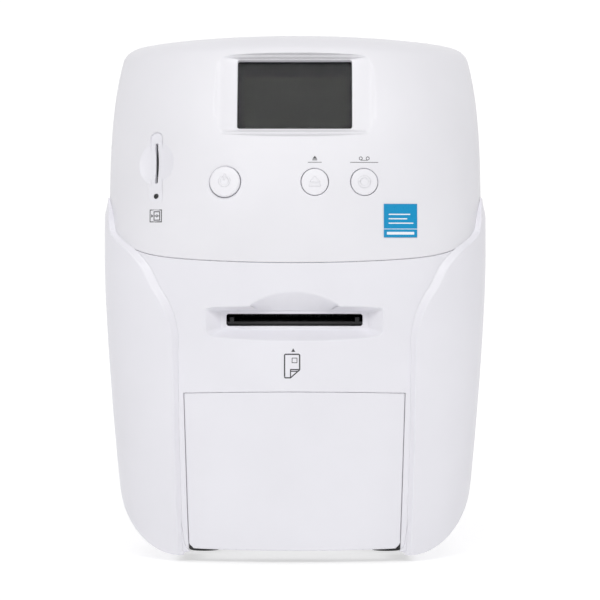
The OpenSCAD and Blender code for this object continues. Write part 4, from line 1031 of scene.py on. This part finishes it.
rings = []
for x, depth in zip(*spread(LID_HALF, 29, 0.7)):
    loop = lid_outline(depth)
    height = np.minimum(loop[:, 1], crown_at(x) - depth)
    rings.append(flat_at(x, np.column_stack([loop[:, 0], height])))
lid = loft("lid_moulding", rings, "cover_white")
ceiling = BODY_H - WALL - 0.9
cavity = [(LID_FRONT + 2, LID_Z - 4), (LID_FRONT + 2, ceiling), (LID_Y, ceiling),
          *arc(5.6, math.degrees(1.3), math.degrees(-1.5), 20, (LID_Y, LID_Z)), (LID_Y, LID_Z - 4)]
cut(lid, [loft("cavity_tool", [flat_at(x, cavity) for x in (-LID_HALF + 2, LID_HALF - 2)])])
pins = pair_x("pin", circle(2.4, 32) + (LID_Y, LID_Z), LID_HALF - 0.5, LID_HALF + 3.2, "cover_white")
lid = shade(join("lid_moulding", [lid] + pins))
declare(lid, "lid", "cover_white", "hopper_lid")
print("lid faces:", len(lid.data.polygons))

# %% [markdown]
# ## Keys
# Each key is turned about its own axis: a cap with a rounded edge, a flange that keeps it in the
# cover, and a stem. Their marks are raised out of the same plastic, so they only show by their shading.

# %% Keys
def turned(name, at, profile, finish, count=72):
    """A profile of (radius, height) turned about the local Y axis; height runs out of the front."""
    rings = [on(at, circle(max(r, 0.01), count), -h) for r, h in profile]
    return loft(name, rings, finish)


def raised(name, at, loop, low, high, finish, chamfer=0.12):
    loop = np.asarray(loop, float)
    ahead, behind = np.roll(loop, -1, 0), np.roll(loop, 1, 0)
    tangent = ahead - behind
    normal = np.column_stack([tangent[:, 1], -tangent[:, 0]])
    normal /= np.linalg.norm(normal, axis=1)[:, None] + 1e-9
    area = 0.5 * np.sum(loop[:, 0] * ahead[:, 1] - ahead[:, 0] * loop[:, 1])
    small = loop - normal * chamfer * (1 if area > 0 else -1)
    steps = ((loop, low), (loop, high - chamfer), (small, high))
    return loft(name, [on(at, outline, -h) for outline, h in steps], finish)


def arc_band(r0, r1, start, stop, count=36):
    return np.vstack([arc(r1, start, stop, count), arc(r0, start, stop, count)[::-1]])


marks = {
    "power": [arc_band(1.9, 2.6, -245, 65), round_rect(0.7, 2.6, 0.3, 4) + (0, 2.0)],
    "eject": [resample([(-2.5, -0.2), (2.5, -0.2), (0, 2.5)], 30, 1),
              round_rect(5.2, 1.0, 0.3, 4) + (0, -1.6)],
    "ribbon": [arc_band(1.8, 2.8, -180, 0), arc_band(1.8, 2.8, 0, 180)],
}
for key, (x, r, proud) in KEYS.items():
    at = place_on_front(x, KEY_Z)
    edge = 0.9 if key == "power" else 0.5
    profile = [(0, proud + 0.12), (r * 0.3, proud + 0.11), (r * 0.6, proud + 0.06), (r - edge, proud)]
    profile += [(r - edge + edge * math.sin(a), proud - edge + edge * math.cos(a))
                for a in np.linspace(0.2, math.pi / 2, 6)]
    profile += [(r, -6.7), (r + 1.3, -6.75), (r + 1.3, -7.95), (2.4, -8.0), (2.4, -12.6), (0, -12.6)]
    parts = [turned("cap", at, profile, "key_white")]
    parts += [raised("mark", at, loop, proud - 0.4, proud + 0.34, "key_white") for loop in marks[key]]
    cap = shade(join(key + "_key_cap", parts), 35)
    declare(cap, key + "_key", "key_white", key + "_button")
print("keys:", list(KEYS))

# %% [markdown]
# ## Small pieces of the cover
# A dark lamp sits in the channel under the chip slot. Inside, the cover has four posts for the control
# board and two lugs with the hinge pins, which show when it stands open.

# %% Lamp, posts and hinge lugs
lamp = turned("chip_lamp", moved(at_chip, 0, -15.0), [(0, -0.55), (0.6, -0.6), (1.0, -0.75), (1.15, -1.1),
                                                      (1.15, -3.2), (0, -3.2)], "black_plastic", 32)
declare(shade(lamp), "cover", "black_plastic")

posts = []
BOARD_Z = BODY_H - 49.6
board_at = np.array(Matrix.Translation((0, float(front_at(0, BOARD_Z)) + 20, BOARD_Z)) @
                    Matrix.Rotation(math.radians(-16), 4, "X"))
for x, z in ((-40.5, -28.5), (40.5, -28.5), (-40.5, 27), (40.5, 27)):
    at = moved(board_at, x, z)
    reach = 1.0                                    # each post grows until it is sunk in the cover's wall
    while front_depth(local(at, [(0, -reach, 0)]))[0] >= 2.0 and reach <= 28:
        reach += 0.25
    profile = [(0, 0.0), (1.0, 0.0), (1.0, 0.4), (2.3, 0.4), (2.5, 0.6), (2.5, reach), (0, reach)]
    posts.append(turned("post", at, profile, "cover_white", 28))
lug = [*arc(7, 180, 360, 16, (HINGE_Y, HINGE_Z)), (HINGE_Y + 7, HINGE_Z + 4), (HINGE_Y + 6, BODY_H - 2.8),
       (HINGE_Y - 7, BODY_H - 2.6)]
posts += pair_x("lug", lug, 49, 52, "cover_white")
posts += pair_x("pin", circle(3.0, 32) + (HINGE_Y, HINGE_Z), 45, 50, "cover_white")
cover_fittings = shade(join("cover_fittings", posts))
declare(cover_fittings, "cover", "cover_white")

# %% [markdown]
# ## Printed marks
# The casing carries a few dark printed signs. They are plain signs of their kind: a card with an arrow
# over the slot's path, a chip beside its slot, and small signs with an underline over two of the keys.
# Each is a film less than a tenth of a millimetre thick that follows the skin.

# %% Ink and printing
def ink_finish(name, colour):
    material, tree, surface, place = blank(name)
    dots = noise(tree, place, 2500)
    pale = tuple(min(1, c + 0.06) for c in colour)
    feed(surface, ramp(tree, dots, [(0.4, colour), (0.8, pale)]), span(tree, dots, 0.35, 0.55))
    return material


FINISH["dark_ink"] = ink_finish("dark_ink", (0.05, 0.05, 0.055))
FINISH["white_ink"] = ink_finish("white_ink", (0.85, 0.87, 0.9))


def printed(name, x, z, shapes, ink, low=-0.05, high=0.03):
    """Flat shapes, drawn round (x, z) as seen along the surface, laid on the front skin."""
    yaw = math.atan(float(front_at(x + 1, z) - front_at(x - 1, z)) / 2)
    films = []
    for shape in shapes:
        shape = np.asarray(shape, float)
        shape = resample(shape, max(len(shape) * 4, 24)) if len(shape) < 12 else shape
        gx, gz = x + shape[:, 0] * math.cos(yaw), z + shape[:, 1]
        skins = [np.column_stack([gx, front_at(gx, gz) - h, gz]) for h in (low, high)]
        films.append(loft("film", skins, ink))
    return join(name, films)


def bar(x0, z0, x1, z1, width):
    """A straight line of the given width."""
    run = np.array([x1 - x0, z1 - z0], float)
    length = np.linalg.norm(run)
    side = np.array([-run[1], run[0]]) / length * width / 2
    a, b = np.array([x0, z0]), np.array([x1, z1])
    return [a + side, b + side, b - side, a - side]


def frame_lines(x0, z0, x1, z1, width):
    h = width / 2
    return [bar(x0 - h, z0, x1 + h, z0, width), bar(x0 - h, z1, x1 + h, z1, width),
            bar(x0, z0 + h, x0, z1 - h, width), bar(x1, z0 + h, x1, z1 - h, width)]


def spool(x):
    return [arc_band(0.55, 0.85, start, start + 180, 16) + (x, 1.2) for start in (-180, 0)]


card_sign = [bar(-3.9, -4.6, -3.9, 4.9, 0.6), bar(-3.4, 5.4, 2.4, 5.4, 0.6), bar(2.9, 4.9, 2.9, -1.5, 0.6),
             arc_band(0.25, 0.85, 90, 180, 8) + (-3.35, 4.85), arc_band(0.25, 0.85, 0, 90, 8) + (2.35, 4.85),
             arc_band(0.25, 0.85, 180, 270, 8) + (-3.35, -4.65), bar(-3.4, -5.2, -1.0, -5.2, 0.6),
             bar(-1.2, -5.2, 2.9, -1.6, 0.55), bar(-1.2, -5.3, -1.2, -1.3, 0.5),
             bar(-1.4, -1.5, 3.1, -1.5, 0.55), bar(-1.0, -2.3, 2.0, -2.3, 0.45)]
card_sign += frame_lines(-0.5, 1.6, 1.7, 3.7, 0.3) + [[(-0.9, 6.5), (0.9, 6.5), (0, 8.1)]]
chip_sign = frame_lines(-2.9, -2.7, 2.9, 2.7, 0.42) + frame_lines(-0.9, -1.9, 2.0, 1.9, 0.42)
chip_sign += [[(-2.3, 0.8), (-2.3, -0.8), (-1.2, 0)], bar(-0.9, 0, 0.0, 0, 0.35), bar(1.1, 0, 2.0, 0, 0.35),
              arc_band(0.3, 0.65, 0, 359, 16) + (0.55, 0)]
eject_sign = [[(-1.1, 1.0), (1.1, 1.0), (0, 2.4)], bar(-1.1, 0.5, 1.1, 0.5, 0.4),
              bar(-3.1, -0.6, 3.1, -0.6, 0.25)]
spool_sign = spool(-1.6) + spool(1.6) + [bar(-1.6, 0.35, 1.6, 0.35, 0.25), bar(-6.4, -0.6, 6.4, -0.6, 0.25)]
SIGNS = (("card_sign", -0.5, 89.3, card_sign, "base"), ("chip_sign", CHIP_X + 0.3, 157.2, chip_sign, "cover"),
         ("eject_sign", KEYS["eject"][0], 182.0, eject_sign, "cover"),
         ("spool_sign", KEYS["ribbon"][0], 182.0, spool_sign, "cover"))
for name, x, z, shapes, body in SIGNS:
    declare(printed(name, x, z, shapes, "dark_ink"), body, "black_plastic")
print("printed signs:", len(SIGNS))

# %% [markdown]
# ## The blue label
# A glossy square label sits at the lower right of the cover. Its print is left generic: a plain
# line, a few bars and a pale foot, on a sheet that follows the curve of the front.

# %% Label
LABEL_X, LABEL_Z, LABEL_W, LABEL_H = 48.0, 155.0, 15.2, 15.2


def sheet_on_front(name, x0, x1, z0, z1, low, high, finish, cells=12):
    xs, zs = np.linspace(x0, x1, cells), np.linspace(z0, z1, cells)
    gx, gz = np.meshgrid(xs, zs)
    skins = [np.dstack([gx, front_at(gx, gz) - h, gz]) for h in (high, low)]
    return two_skins(name, *skins, finish)


x0, x1 = LABEL_X - LABEL_W / 2, LABEL_X + LABEL_W / 2
z0, z1 = LABEL_Z - LABEL_H / 2, LABEL_Z + LABEL_H / 2
label = sheet_on_front("front_label", x0, x1, z0, z1, -0.1, 0.3, "label_blue")
declare(shade(label, 40, False), "cover", "label_blue", "seal_label")
BARS = ((0.0, 15.2, 3.7, 3.95), (1.4, 13.8, 1.3, 2.5), (2.2, 13.4, 6.2, 6.7), (2.2, 10.6, 8.2, 8.7),
        (2.2, 12.0, 10.2, 10.7))
lines = [sheet_on_front("line", x0 + a, x0 + b, z0 + c, z0 + d, 0.2, 0.33, "white_ink", 8)
         for a, b, c, d in BARS]
label_print = join("label_print", lines)
declare(label_print, "cover", "label_blue")

# %% [markdown]
# ## Feet
# Four rubber pads carry the printer. Each is turned, with a rounded rim and a shallow groove.

# %% Feet
PAD = ((0.01, 0.3), (4.2, 0.3), (4.5, 0.0), (6.7, 0.0), (7.2, 0.25), (7.5, 0.8), (7.5, 5.05), (0.01, 5.05))
feet = [loft("pad", [plan_at(h, circle(r, 56) + (x, y)) for r, h in PAD], "foot_rubber")
        for x in (-43, 43) for y in (-122, 146)]
pads = shade(join("foot_pads", feet), 40)
declare(pads, "base", "foot_rubber", "rubber_feet")

# %% [markdown]
# ## Floor, light and camera
# The photograph is a high-key studio shot: a white room, a broad light above and in front, and a long
# lens almost level with the middle of the printer.

# %% Floor
def floor_finish(name):
    material, tree, surface, place = blank(name)
    cloud = noise(tree, place, 3, 3)
    feed(surface, ramp(tree, cloud, [(0.3, (0.49, 0.49, 0.49)), (0.7, (0.51, 0.51, 0.51))]),
         span(tree, cloud, 0.8, 0.9))
    surface.inputs["Emission Color"].default_value = (1, 1, 1, 1)
    away = node(tree, "ShaderNodeSeparateXYZ", {"Vector": place}).outputs["Y"]
    tree.links.new(span(tree, away, 0.56, 0.78, -0.2, 1.4), surface.inputs["Emission Strength"])
    return material


ground = np.array([[(x, y, 0.0) for x in np.linspace(-6000, 6000, 3)] for y in np.linspace(-6000, 6000, 3)])
corner = [(0, 1, 4, 3), (1, 2, 5, 4), (3, 4, 7, 6), (4, 5, 8, 7)]
FINISH["floor_white"] = floor_finish("floor_white")
floor = mesh_object("floor", ground.reshape(-1, 3), corner, "floor_white")
for polygon in floor.data.polygons:
    if polygon.normal.z < 0:
        floor.data.flip_normals()
        break

# %% Light
ROOM_FRONT, ROOM_BACK = 0.3, 1.06              # the room is brightest behind the printer
world = bpy.data.worlds.new("white_room")
scene.world = world
world.use_nodes = True
sky = world.node_tree
direction = node(sky, "ShaderNodeTexCoord").outputs["Generated"]
away = node(sky, "ShaderNodeSeparateXYZ", {"Vector": direction}).outputs["Y"]
room = sky.nodes["Background"].inputs
room["Color"].default_value = (1, 1, 1, 1)
glow = span(sky, away, ROOM_FRONT, ROOM_BACK, -0.2, 0.7, interpolation_type="SMOOTHSTEP")
sky.links.new(glow, room["Strength"])


def soft_light(name, place, aim, size, power):
    light = bpy.data.lights.new(name, "AREA")
    light.shape = "RECTANGLE"
    light.size, light.size_y = size
    light.energy = power
    obj = bpy.data.objects.new(name, light)
    scene.collection.objects.link(obj)
    obj.location = place
    obj.rotation_euler = (Vector(aim) - Vector(place)).to_track_quat("-Z", "Y").to_euler()


soft_light("overhead", (-0.06, -1.85, 1.85), (0, -0.05, 0.12), (1.8, 1.2), 35)

# %% Camera
camera = bpy.data.objects.new("camera", bpy.data.cameras.new("camera"))
scene.collection.objects.link(camera)
camera.location = (0.0127, -1.5, 0.1419)
camera.rotation_euler = (math.radians(90 - 0.99), 0, 0.00967)
camera.data.lens = 2916 / 600 * 36
camera.data.sensor_width = 36
camera.data.shift_x = 5.7 / 600
scene.camera = camera
